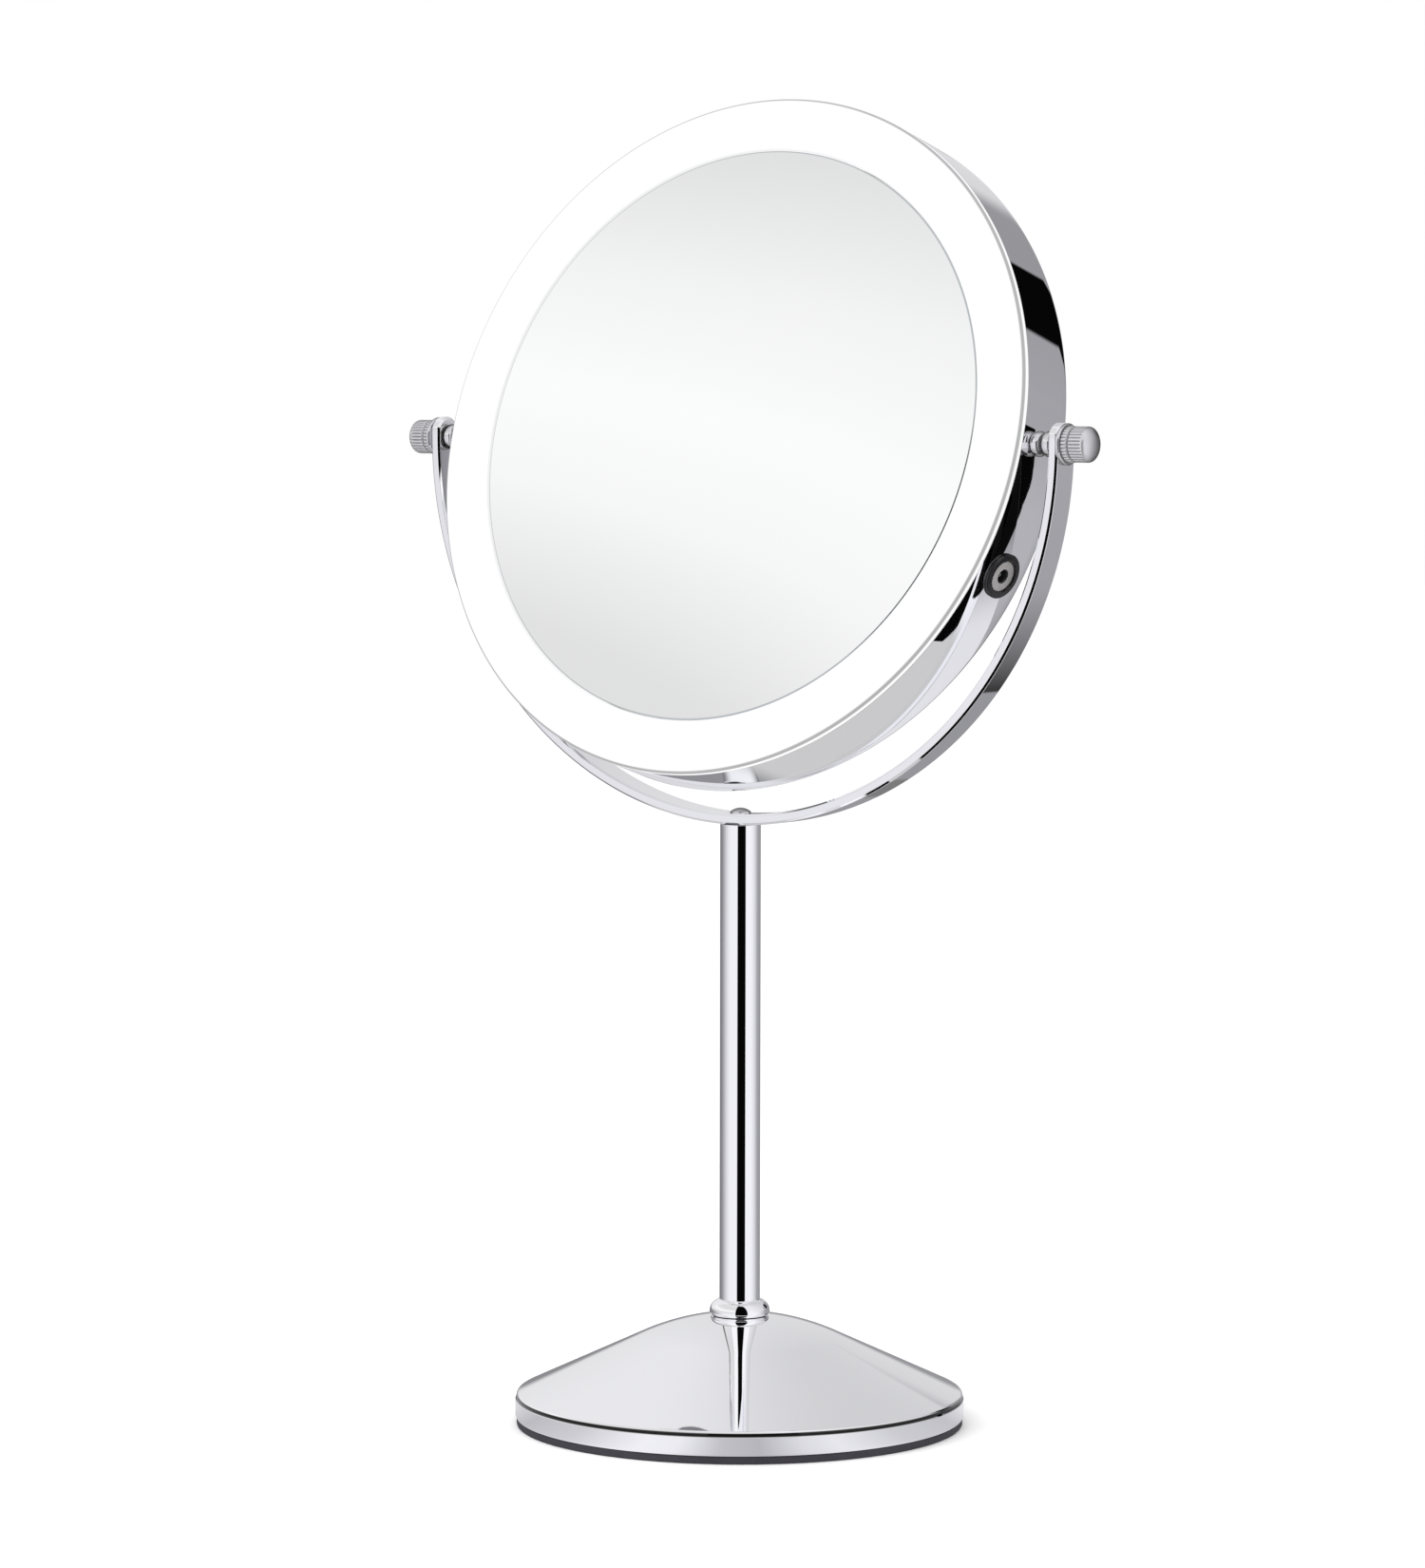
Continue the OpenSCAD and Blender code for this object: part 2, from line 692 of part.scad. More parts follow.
module touch_wires() {
    size = touch_board_size;
    color("#e8e8e8") on_head() for (t = [-1, 1])
        wire([
            [touch_at[0] + 7 + t, touch_at[1] + 3, floor_top + size[2] + wire_r + wire_gap],
            [touch_at[0] + 12 + t, touch_at[1] + 14, floor_top + 6],
            [board_at[0] - 8 + t * wire_pair, board_at[1] - 12, board_top()]
        ]);
}

// ---- socket ----

module socket_bezel() {
    flange_t = 1;
    edge = 0.4;
    color("#1c1c1e") on_socket() rotate_extrude() polygon([
        [insert_r + gap, -barrel_l], [barrel_r, -barrel_l], [barrel_r, 0], [bezel_r, 0],
        [bezel_r, flange_t - edge], [bezel_r - edge, flange_t], [insert_r + edge, flange_t],
        [insert_r + gap, flange_t - edge]
    ]);
}

module socket_insert() {
    color("#b9b4a8") on_socket() translate([0, 0, insert_proud - insert_t])
        tube(insert_r, plug_hole_r, insert_t);
}

module socket_body() {
    top = insert_proud - insert_t;
    color("#1c1c1e") on_socket() difference() {
        translate([0, 0, top - body_l]) cylinder(r = insert_r, h = body_l);
        translate([0, 0, pin_seat_z]) cylinder(r = plug_hole_r, h = body_l);
    }
}

module socket_pin() {
    color("#b08d4c") on_socket() translate([0, 0, pin_seat_z]) cylinder(r = pin_r, h = -pin_seat_z - 0.8);
}

module socket_nut() {
    near = -drum_t - 0.4;
    nut_t = 1.5;
    color("#9a9ca0") on_socket() translate([0, 0, near - nut_t]) difference() {
        cylinder(r = 7.8, h = nut_t, $fn = 6);
        translate([0, 0, -eps]) cylinder(r = barrel_r + gap, h = nut_t + 2 * eps);
    }
}

base_pad();
base_plate();
base_weight();
base_cover();
base_screws();
column_bolt();
column_bolt_washer();
column_foot_plug();
column_collar();
column_tube();
column_head_plug();
yoke();
yoke_screw();
arm_bush(-1);  // arm_bush_left
arm_bush(1);  // arm_bush_right
arm_washer(-1);  // arm_washer_left
arm_washer(1);  // arm_washer_right
outer_bead(-1);  // outer_bead_left
outer_bead(1);  // outer_bead_right
friction_washer(-1);  // friction_washer_left
friction_washer(1);  // friction_washer_right
inner_bead(-1);  // inner_bead_left
inner_bead(1);  // inner_bead_right
pivot_boss(-1);  // pivot_boss_left
pivot_boss(1);  // pivot_boss_right
knob(-1);  // knob_left
knob(1);  // knob_right
knob_stud(-1);  // knob_stud_left
knob_stud(1);  // knob_stud_right
drum();
light_ring();
front_mirror();
front_mirror_tape();
rear_mirror();
rear_mirror_tape();
inner_frame();
led_board();
leds();
control_board();
board_parts();
board_screws();
battery();
battery_tape();
touch_board();
touch_contact();
socket_bezel();
socket_insert();
socket_body();
socket_pin();
socket_nut();
socket_wires();
battery_wires();
led_wires();
touch_wires();
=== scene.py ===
"""Looks of the lighted vanity mirror: chrome base, column and yoke, and a tilting drum with a light ring.

Every piece is in metres in the part's own frame: +Z up, +X along the tilt axis, the lit mirror faces -Y.
"""

import json
import math

import bpy
from mathutils import Matrix, Vector


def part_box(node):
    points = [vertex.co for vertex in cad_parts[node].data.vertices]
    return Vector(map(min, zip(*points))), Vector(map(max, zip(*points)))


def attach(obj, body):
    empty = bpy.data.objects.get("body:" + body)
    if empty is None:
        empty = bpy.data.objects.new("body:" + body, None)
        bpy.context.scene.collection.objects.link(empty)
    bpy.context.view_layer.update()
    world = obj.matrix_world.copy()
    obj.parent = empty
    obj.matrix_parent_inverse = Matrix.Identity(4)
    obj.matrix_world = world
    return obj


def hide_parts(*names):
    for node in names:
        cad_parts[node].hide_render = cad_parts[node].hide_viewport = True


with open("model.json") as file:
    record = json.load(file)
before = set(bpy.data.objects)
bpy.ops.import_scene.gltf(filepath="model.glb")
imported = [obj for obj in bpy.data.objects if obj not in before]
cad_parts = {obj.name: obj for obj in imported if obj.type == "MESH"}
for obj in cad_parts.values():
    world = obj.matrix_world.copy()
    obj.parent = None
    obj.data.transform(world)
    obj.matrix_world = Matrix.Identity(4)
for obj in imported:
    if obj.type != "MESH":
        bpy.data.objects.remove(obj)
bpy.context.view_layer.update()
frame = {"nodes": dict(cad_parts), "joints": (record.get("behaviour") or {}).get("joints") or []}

MM = 0.001


# ---------------------------------------------------------------- sizes, read from the frame

def high(node):
    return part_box(node)[1]


def low(node):
    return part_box(node)[0]


def joint_point(name):
    joint = next(j for j in frame["joints"] if j["name"] == name)
    return Vector(joint["pos_m"])


def flat_normal(node):
    """Direction of a flat disc's face that looks towards -Y."""
    faces = frame["nodes"][node].data.polygons
    front = [f for f in faces if f.normal.y < -0.5]
    return max(front, key=lambda f: f.area).normal.normalized()


PIVOT = joint_point("head_tilt")
HEAD_Z = flat_normal("rear_mirror")
HEAD_X = Vector((1, 0, 0))
HEAD_Y = HEAD_Z.cross(HEAD_X)
HEAD = Matrix((
    (HEAD_X.x, HEAD_Y.x, HEAD_Z.x, PIVOT.x),
    (HEAD_X.y, HEAD_Y.y, HEAD_Z.y, PIVOT.y),
    (HEAD_X.z, HEAD_Y.z, HEAD_Z.z, PIVOT.z),
    (0, 0, 0, 1),
))


def head_span(node):
    """Lowest and highest z of a CAD node in the head's own frame."""
    inverse = HEAD.inverted()
    heights = [(inverse @ v.co).z for v in frame["nodes"][node].data.vertices]
    return min(heights), max(heights)


BASE_R = high("base_cover").x
SEAT_Z = high("base_cover").z
PAD_R = high("base_pad").x
PAD_TOP = high("base_pad").z
TUBE_R = high("column_tube").x
TUBE_TOP = high("column_tube").z
COLLAR_R = high("column_collar").x
COLLAR_TOP = high("column_collar").z
YOKE_R = high("yoke").x
YOKE_HALF_W = high("yoke").y
YOKE_TIP = high("yoke").z - PIVOT.z
DRUM_R = high("drum").x
DRUM_BACK, DRUM_FRONT = head_span("drum")
RING_FRONT = head_span("light_ring")[1]
GLASS_R = high("front_mirror").x

# Sizes that no box gives
CAP_R = 76 * MM               # rounding of the cone's top
CONE_SLOPE = math.radians(25)
SHOULDER_R = 1.2 * MM
RIM_CREASE = 0.3 * MM
RIM_STEP = 0.3 * MM
COVER_T = 1.2 * MM
YOKE_T = 3.4 * MM
YOKE_CHAMFER = 0.7 * MM
YOKE_TIP_R = 5.5 * MM
DRUM_T = 1.2 * MM
DRUM_ROUND = 2 * MM
REAR_WINDOW_R = 102 * MM
MIRROR_CURVE_R = 560 * MM
SEAT_R = 8 * MM               # flat on top of the cone
GLASS_T = 2 * MM
STUD_R = 2.05 * MM


# ---------------------------------------------------------------- mesh helpers

def turned(vector, angle):
    c, s = math.cos(angle), math.sin(angle)
    return Vector((vector.x * c - vector.y * s, vector.x * s + vector.y * c))


def arc(centre, radius, start, end, steps):
    """Points of an arc in the profile plane; angles in degrees."""
    angles = [math.radians(start + (end - start) * i / steps) for i in range(steps + 1)]
    return [(centre[0] + radius * math.cos(a), centre[1] + radius * math.sin(a)) for a in angles]


def rounded(outline, radius, closed=True, steps=4, soft=math.radians(14)):
    """(point, normal) pairs of an outline whose sharp corners get a fillet and whose soft ones stay smooth.

    The outline runs with its outside on the right hand."""
    points = [Vector(p) for p in outline]
    count = len(points)
    result = []
    for i, p in enumerate(points):
        before = points[i - 1] if closed or i > 0 else None
        after = points[(i + 1) % count] if closed or i < count - 1 else None
        if before is None or after is None:
            way = (after - p) if before is None else (p - before)
            way.normalize()
            result.append((p, Vector((way.y, -way.x))))
            continue
        way_in, way_out = (p - before), (after - p)
        length = min(way_in.length, way_out.length)
        way_in.normalize()
        way_out.normalize()
        turn = math.atan2(way_in.x * way_out.y - way_in.y * way_out.x, way_in.dot(way_out))
        normal = Vector((way_in.y, -way_in.x))
        if abs(turn) < soft:
            result.append((p, turned(normal, turn / 2)))
            continue
        reach = min(radius * math.tan(abs(turn) / 2), 0.45 * length)
        bend = reach / math.tan(abs(turn) / 2)
        side = 1 if turn > 0 else -1
        centre = p - way_in * reach - normal * bend * side
        for k in range(steps + 1):
            direction = turned(normal, turn * k / steps)
            result.append((centre + direction * bend * side, direction))
    return result


def lathe_mesh(profile, segments, closed, place):
    """Vertices, faces and normals of a profile turned about the local z axis."""
    points, normals, faces, rings = [], [], [], []
    spin = place.to_3x3()
    for (r, z), (nr, nz) in profile:
        ring = []
        if r < 1e-7:
            ring = [len(points)] * segments
            points.append(place @ Vector((0, 0, z)))
            normals.append(spin @ Vector((0, 0, 1 if nz > 0 else -1)))
        else:
            for k in range(segments):
                c, s = math.cos(2 * math.pi * k / segments), math.sin(2 * math.pi * k / segments)
                ring.append(len(points))
                points.append(place @ Vector((r * c, r * s, z)))
                normals.append(spin @ Vector((nr * c, nr * s, nz)))
        rings.append(ring)
    pairs = list(zip(rings, rings[1:]))
    if closed:
        pairs.append((rings[-1], rings[0]))
    for lower, upper in pairs:
        for k in range(segments):
            n = (k + 1) % segments
            face = [lower[k], lower[n], upper[n], upper[k]]
            face = list(dict.fromkeys(face))
            if len(face) > 2:
                faces.append(face)
    return points, faces, normals


def piece(name, points, faces, normals, body, material, slot, *nodes):
    """A new mesh object that rides on a body and stands for CAD nodes."""
    mesh = bpy.data.meshes.new(name)
    mesh.from_pydata([tuple(p) for p in points], [], faces)
    mesh.polygons.foreach_set("use_smooth", [True] * len(mesh.polygons))
    if normals:
        mesh.normals_split_custom_set_from_vertices([tuple(n) for n in normals])
    mesh.materials.append(material)
    obj = bpy.data.objects.new(name, mesh)
    bpy.context.scene.collection.objects.link(obj)
    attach(obj, body)
    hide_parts(*nodes)
    return obj


def lathe(name, outline, radius, body, material, slot, nodes, place=None, segments=128, closed=True):
    """A turned piece. The outline is (radius, height) about a frame's z axis; radius rounds its corners."""
    mesh = lathe_mesh(rounded(outline, radius, closed), segments, closed, place or Matrix.Identity(4))
    return piece(name, *mesh, body, material, slot, *nodes)


def along_axis(side, x):
    """A frame on the tilt axis at x out from the centre, its z pointing outwards. side is -1 or 1."""
    outwards = Vector((side, 0, 0))
    up = Vector((0, 0, 1))
    across = outwards.cross(up)
    where = PIVOT + outwards * x
    return Matrix((
        (up.x, across.x, outwards.x, where.x),
        (up.y, across.y, outwards.y, where.y),
        (up.z, across.z, outwards.z, where.z),
        (0, 0, 0, 1),
    ))


# ---------------------------------------------------------------- materials

def linear(grey):
    """A grey or colour from display values 0 to 255 to linear light."""
    def one(v):
        v /= 255
        return v / 12.92 if v <= 0.04045 else ((v + 0.055) / 1.055) ** 2.4
    if isinstance(grey, (int, float)):
        grey = (grey, grey, grey)
    return tuple(one(v) for v in grey) + (1.0,)


def add(tree, kind, **inputs):
    node = tree.nodes.new(kind)
    for key, value in inputs.items():
        setattr(node, key, value)
    return node


def wire(tree, value, socket):
    """Links a socket, or sets a plain value."""
    if isinstance(value, bpy.types.NodeSocket):
        tree.links.new(value, socket)
    else:
        socket.default_value = value


def calc(tree, operation, *values):
    node = add(tree, "ShaderNodeMath", operation=operation)
    for value, socket in zip(values, node.inputs):
        wire(tree, value, socket)
    return node.outputs[0]


def product(tree, first, *others):
    for other in others:
        first = calc(tree, "MULTIPLY", first, other)
    return first


def hypotenuse(tree, first, second):
    return calc(tree, "SQRT", calc(tree, "ADD", product(tree, first, first), product(tree, second, second)))


def remap(tree, value, low_in, high_in, low_out, high_out, smooth=False):
    node = add(tree, "ShaderNodeMapRange", interpolation_type="SMOOTHSTEP" if smooth else "LINEAR")
    for item, socket in zip((value, low_in, high_in, low_out, high_out), node.inputs):
        wire(tree, item, socket)
    return node.outputs[0]


def window(tree, value, start, end, soft):
    """1 inside start to end, 0 outside, with soft edges."""
    up = remap(tree, value, start - soft / 2, start + soft / 2, 0.0, 1.0, True)
    down = remap(tree, value, end - soft / 2, end + soft / 2, 1.0, 0.0, True)
    return product(tree, up, down)


def object_point(tree):
    return add(tree, "ShaderNodeTexCoord").outputs["Object"]


def parts_of(tree, vector):
    """The x, y and z sockets of a vector."""
    node = add(tree, "ShaderNodeSeparateXYZ")
    wire(tree, vector, node.inputs[0])
    return node.outputs[0], node.outputs[1], node.outputs[2]


def noise(tree, scale, detail=3.0, roughness=0.5):
    node = add(tree, "ShaderNodeTexNoise")
    node.inputs["Scale"].default_value = scale
    node.inputs["Detail"].default_value = detail
    node.inputs["Roughness"].default_value = roughness
    wire(tree, object_point(tree), node.inputs["Vector"])
    return node.outputs[0]


def blend_colour(tree, factor, first, second):
    node = add(tree, "ShaderNodeMix", data_type="RGBA")
    wire(tree, factor, node.inputs[0])
    wire(tree, first, node.inputs[6])
    wire(tree, second, node.inputs[7])
    return node.outputs[2]


def azimuth(tree, direction):
    """Degrees about +Z of a direction: 0 towards -Y, 90 towards +X."""
    x, y = parts_of(tree, direction)[:2]
    return calc(tree, "MULTIPLY", calc(tree, "ARCTAN2", x, calc(tree, "MULTIPLY", y, -1.0)), 180 / math.pi)


def shades(tree, value, first, last, stops, violet=4):
    """Greys, as display values, at stops of a value, with a touch of violet."""
    node = add(tree, "ShaderNodeValToRGB")
    wire(tree, remap(tree, value, first, last, 0.0, 1.0), node.inputs[0])
    elements = node.color_ramp.elements
    while len(elements) < len(stops):
        elements.new(0.5)
    for element, (at, grey) in zip(elements, stops):
        element.position = (at - first) / (last - first)
        element.color = linear((grey, grey, min(255, grey + violet)))
    return node.outputs[0]


def new_material(name):
    material = bpy.data.materials.new(name)
    material.use_nodes = True
    tree = material.node_tree
    shader = tree.nodes["Principled BSDF"]
    return material, tree, shader


def add_relief(tree, shader, height, strength, depth):
    """Bump from a height socket; depth is the relief's height in metres."""
    relief = add(tree, "ShaderNodeBump")
    relief.inputs["Strength"].default_value = strength
    relief.inputs["Distance"].default_value = depth
    wire(tree, height, relief.inputs["Height"])
    wire(tree, relief.outputs[0], shader.inputs["Normal"])


def finish(name, colour, rough, metallic=0.0, grain=900.0, bump=0.05, depth=0.05 * MM, variation=0.08):
    """A general finish: two noises give colour drift, uneven gloss and a fine surface grain.

    grain is the noise scale per metre; depth is the grain's height in metres."""
    material, tree, shader = new_material(name)
    drift = noise(tree, grain / 12, 4)
    fine = noise(tree, grain, 6, 0.6)
    base = linear(colour)
    darker = tuple(v * (1 - variation) for v in base[:3]) + (1.0,)
    lighter = tuple(min(1.0, v * (1 + variation)) for v in base[:3]) + (1.0,)
    wire(tree, blend_colour(tree, drift, darker, lighter), shader.inputs["Base Color"])
    shader.inputs["Metallic"].default_value = metallic
    spread = 0.06
    wire(tree, remap(tree, fine, 0.3, 0.7, rough - spread, rough + spread), shader.inputs["Roughness"])
    add_relief(tree, shader, fine, bump, depth)
    return material


def chrome(name, rough=0.006, colour=(252, 252, 254), haze=0.01, bump=0.0):
    """Plating: nearly a perfect mirror, with faint polishing haze; bump adds a very fine unevenness."""
    material, tree, shader = new_material(name)
    haze_map = noise(tree, 60, 5, 0.65)
    tint = linear(colour)
    dull = tuple(v * 0.985 for v in tint[:3]) + (1.0,)
    wire(tree, blend_colour(tree, haze_map, dull, tint), shader.inputs["Base Color"])
    shader.inputs["Metallic"].default_value = 1.0
    wire(tree, remap(tree, haze_map, 0.35, 0.7, rough, rough + haze), shader.inputs["Roughness"])
    if bump:
        add_relief(tree, shader, noise(tree, 2500, 3), bump, 0.02 * MM)
    return material


def axis_radius(tree, place, point=None):
    """Distance of a point from the z axis of a frame, and the height along it, as sockets."""
    offset = add(tree, "ShaderNodeVectorMath", operation="SUBTRACT")
    wire(tree, point or object_point(tree), offset.inputs[0])
    offset.inputs[1].default_value = place.translation
    parts = []
    for axis in place.to_3x3().col:
        dot = add(tree, "ShaderNodeVectorMath", operation="DOT_PRODUCT")
        wire(tree, offset.outputs[0], dot.inputs[0])
        dot.inputs[1].default_value = axis
        parts.append(dot.outputs["Value"])
    return hypotenuse(tree, parts[0], parts[1]), parts[2]


def tint_where(material, mask, colour):
    """Blends a colour over a material's own where the mask is 1."""
    tree = material.node_tree
    base = tree.nodes["Principled BSDF"].inputs["Base Color"]
    wire(tree, blend_colour(tree, mask, base.links[0].from_socket, colour), base)


def small_plated_with_painted_shade(name, rough, colour, metallic, edge):
    """Plating of the small turned parts: softer, with painted shade darkening their outlines and their
    grooves; edge is the grey of that painted shade.
    """
    material = chrome(name, rough=rough, colour=colour, haze=0.04, bump=0.03)
    tree = material.node_tree
    tree.nodes["Principled BSDF"].inputs["Metallic"].default_value = metallic
    facing = add(tree, "ShaderNodeLayerWeight").outputs["Facing"]
    # painted shade: darker where the surface turns away from the view
    tint_where(material, remap(tree, facing, 0.12, 0.8, 0.0, 1.0, True), linear(edge))
    grooves = add(tree, "ShaderNodeNewGeometry").outputs["Pointiness"]
    # painted shade in the grooves between the ribs, found by pointiness
    tint_where(material, remap(tree, grooves, 0.40, 0.49, 0.85, 0.0, True), linear(edge / 2))
    return material


def diffuser():
    """Milky acrylic, lit from behind: even white, with painted shade greying it at both edges and darkest
    along the front corner.
    """
    material, tree, shader = new_material("milky_diffuser")
    across, along = axis_radius(tree, HEAD)
    # painted shade: the glow dimmed towards the outer and inner edges
    outer = remap(tree, across, DRUM_R - 5.5 * MM, DRUM_R - 1.4 * MM, 1.0, 0.93, True)
    inner = remap(tree, across, GLASS_R, GLASS_R + 1.2 * MM, 0.8, 1.0, True)
    at_edge = remap(tree, across, DRUM_R - 1.0 * MM, DRUM_R - 0.55 * MM, 0.0, 1.0, True)
    at_front = remap(tree, along, RING_FRONT - 1.1 * MM, RING_FRONT - 0.7 * MM, 0.0, 1.0, True)
    # painted shade along the rounded front corner of the outer edge
    corner = remap(tree, product(tree, at_edge, at_front), 0.0, 1.0, 1.0, 0.42)
    cloud = remap(tree, noise(tree, 400, 3), 0.3, 0.7, 0.985, 1.0)
    wire(tree, product(tree, outer, inner, corner, cloud), shader.inputs["Emission Strength"])
    shader.inputs["Emission Color"].default_value = linear((254, 254, 255))
    shader.inputs["Base Color"].default_value = linear(60)
    shader.inputs["Roughness"].default_value = 0.3
    return material


def silvered(name, edge_from):
    """Silvered glass: a clean mirror with faint dust and a grey line at its ground edge."""
    material, tree, shader = new_material(name)
    across = axis_radius(tree, HEAD)[0]
    edge = remap(tree, across, edge_from, edge_from + 0.25 * MM, 0.0, 1.0, True)
    glass = blend_colour(tree, noise(tree, 25, 4), linear((250, 251, 251)), linear((252, 252, 252)))
    wire(tree, blend_colour(tree, edge, glass, linear((196, 200, 202))), shader.inputs["Base Color"])
    shader.inputs["Metallic"].default_value = 1.0
    dust = remap(tree, noise(tree, 3000, 2), 0.7, 0.9, 0.0, 0.02)
    wire(tree, calc(tree, "ADD", dust, calc(tree, "MULTIPLY", edge, 0.25)), shader.inputs["Roughness"])
    return material


CHROME = chrome("chrome_plate")
CHROME_SATIN = small_plated_with_painted_shade("chrome_knob", 0.24, (212, 211, 215), 0.65, 60)
CHROME_SMALL = small_plated_with_painted_shade("chrome_small_parts", 0.07, (226, 225, 229), 0.85, 50)
FOAM = finish("foam_rubber", (50, 48, 56), 0.75, grain=2600, bump=0.6, depth=0.2 * MM, variation=0.25)
DIFFUSER = diffuser()
FRONT_GLASS = silvered("front_mirror_silver", GLASS_R - 0.55 * MM)
REAR_GLASS = silvered("rear_mirror_silver", REAR_WINDOW_R + 1 * MM)
SOCKET_BLACK = finish("socket_black", (26, 25, 28), 0.32, grain=2200, bump=0.15)
NYLON = finish("natural_nylon", (232, 228, 214), 0.45, grain=1500, bump=0.1)
DARK_NYLON = finish("dark_nylon", (60, 59, 62), 0.4, grain=1500, bump=0.1)
ZINC = finish("zinc_steel", (196, 199, 206), 0.3, metallic=1.0, grain=900, variation=0.12)
PLAIN_STEEL = finish("plain_steel", (150, 152, 157), 0.35, metallic=1.0, grain=700, variation=0.12)
IRON = finish("cast_iron", (66, 66, 70), 0.6, metallic=0.6, bump=0.8, depth=0.4 * MM, variation=0.3)
TAPE = finish("foam_tape", (236, 236, 230), 0.8, grain=3000, bump=0.4, depth=0.1 * MM)
FRAME_PLASTIC = finish("white_plastic", (228, 228, 226), 0.4, grain=1400, bump=0.08)
LAMP_BOARD = finish("white_board", (238, 238, 232), 0.4, grain=1600, bump=0.1)
PHOSPHOR = finish("lamp_phosphor", (255, 236, 160), 0.3, grain=2500, bump=0.2)
GREEN_BOARD = finish("green_board", (34, 112, 66), 0.35, grain=1600, bump=0.15, variation=0.2)
BLACK_EPOXY = finish("black_epoxy", (38, 38, 41), 0.5, grain=2600, bump=0.3)
FOIL = finish("battery_foil", (196, 198, 203), 0.35, metallic=0.9, grain=500, bump=0.3, depth=0.1 * MM)
CONTACT_FOAM = finish("contact_foam", (72, 72, 76), 0.8, grain=2600, bump=0.6, depth=0.2 * MM)
RED_SLEEVE = finish("red_sleeve", (176, 36, 30), 0.4, grain=1500)
WHITE_SLEEVE = finish("white_sleeve", (232, 232, 230), 0.4, grain=1500)


# ---------------------------------------------------------------- base and column

def cone_centres():
    """Centre height of the cone's rounded top; centre radius and height of the rounding at its rim."""
    cap_z = SEAT_Z - math.sqrt(CAP_R ** 2 - SEAT_R ** 2)
    centre_r = BASE_R - RIM_STEP - SHOULDER_R
    slope_c, slope_s = math.cos(CONE_SLOPE), math.sin(CONE_SLOPE)
    return cap_z, centre_r, (cap_z * slope_c + CAP_R - SHOULDER_R - centre_r * slope_s) / slope_c


CAP_Z, SHOULDER_X, SHOULDER_Z = cone_centres()
RIM_TOP = SHOULDER_Z - 3 * RIM_CREASE


def chrome_with_painted_crease_shade():
    """The base's plating, with painted shade along the crease where the cone meets the rim band."""
    material = chrome("chrome_plate_base", rough=0.012, haze=0.012)
    tree = material.node_tree
    height = parts_of(tree, object_point(tree))[2]
    soft = 0.3 * MM
    up = remap(tree, height, RIM_TOP, RIM_TOP + soft, 0.0, 1.0, True)
    down = remap(tree, height, SHOULDER_Z + soft, SHOULDER_Z + 2 * soft, 1.0, 0.0, True)
    # painted shade: a dark band along the crease, between the rim band's top and the shoulder
    tint_where(material, product(tree, up, down), linear(62))
    return material


def build_base():
    edge_r = BASE_R - RIM_STEP
    side = 90 - math.degrees(CONE_SLOPE)
    hole_r = 4.3 * MM
    inner_r = edge_r - COVER_T
    inner_z = SHOULDER_Z - (COVER_T - SHOULDER_R + inner_r * math.sin(CONE_SLOPE)
                            - SHOULDER_X * math.sin(CONE_SLOPE)) / math.cos(CONE_SLOPE)
    outside = [(inner_r, PAD_TOP), (BASE_R - RIM_CREASE, PAD_TOP), (BASE_R, PAD_TOP + 2 * RIM_CREASE)]
    outside += [(BASE_R, RIM_TOP), (BASE_R - RIM_CREASE, RIM_TOP + RIM_CREASE),
                (edge_r - RIM_CREASE, SHOULDER_Z - RIM_CREASE)]
    outside += arc((SHOULDER_X, SHOULDER_Z), SHOULDER_R, 0, side, 10)
    outside += arc((0, CAP_Z), CAP_R, side, math.degrees(math.acos(SEAT_R / CAP_R)), 30)
    outside += [(hole_r, SEAT_Z)]
    near_top = 87                 # degrees; the arc's first point then moves to the hole's edge
    inside = arc((0, CAP_Z), CAP_R - COVER_T, near_top, side, 16)
    inside[0] = (hole_r, SEAT_Z - COVER_T)
    inside += [(inner_r, inner_z)]
    lathe("base_cover_shell", outside + inside, 0.12 * MM, "stand", chrome_with_painted_crease_shade(), "chrome",
          ["base_cover"], segments=256)
    bevel = 0.4 * MM
    pad = [(0, 0), (PAD_R - bevel, 0), (PAD_R, bevel), (PAD_R, PAD_TOP - bevel),
           (PAD_R - bevel, PAD_TOP), (0, PAD_TOP)]
    lathe("base_pad_foam", pad, 0.2 * MM, "stand", FOAM, "pad_rubber", ["base_pad"],
          segments=256, closed=False)


def build_column():
    wall = 1 * MM
    bore = TUBE_R - wall
    lathe("column_tube_chrome",
          [(bore, SEAT_Z), (TUBE_R, SEAT_Z), (TUBE_R, TUBE_TOP), (bore, TUBE_TOP)],
          0.15 * MM, "stand", CHROME, "chrome", ["column_tube"], segments=160)
    bulge_r, foot_r, lip = 4 * MM, 1.2 * MM, 0.3 * MM
    bore = TUBE_R + 0.05 * MM
    top_angle = math.degrees(math.asin((COLLAR_TOP - SEAT_Z - lip - foot_r) / bulge_r))
    bulge_z = SEAT_Z + foot_r
    collar = [(bore, SEAT_Z)] + arc((COLLAR_R - foot_r, bulge_z), foot_r, -90, 0, 10)
    collar += arc((COLLAR_R - bulge_r, bulge_z), bulge_r, 0, top_angle, 12)[1:]
    collar += [(collar[-1][0] - lip, COLLAR_TOP), (bore, COLLAR_TOP)]
    lathe("column_collar_chrome", collar, 0.15 * MM, "stand", CHROME, "chrome",
          ["column_collar"], segments=160)


# ---------------------------------------------------------------- yoke

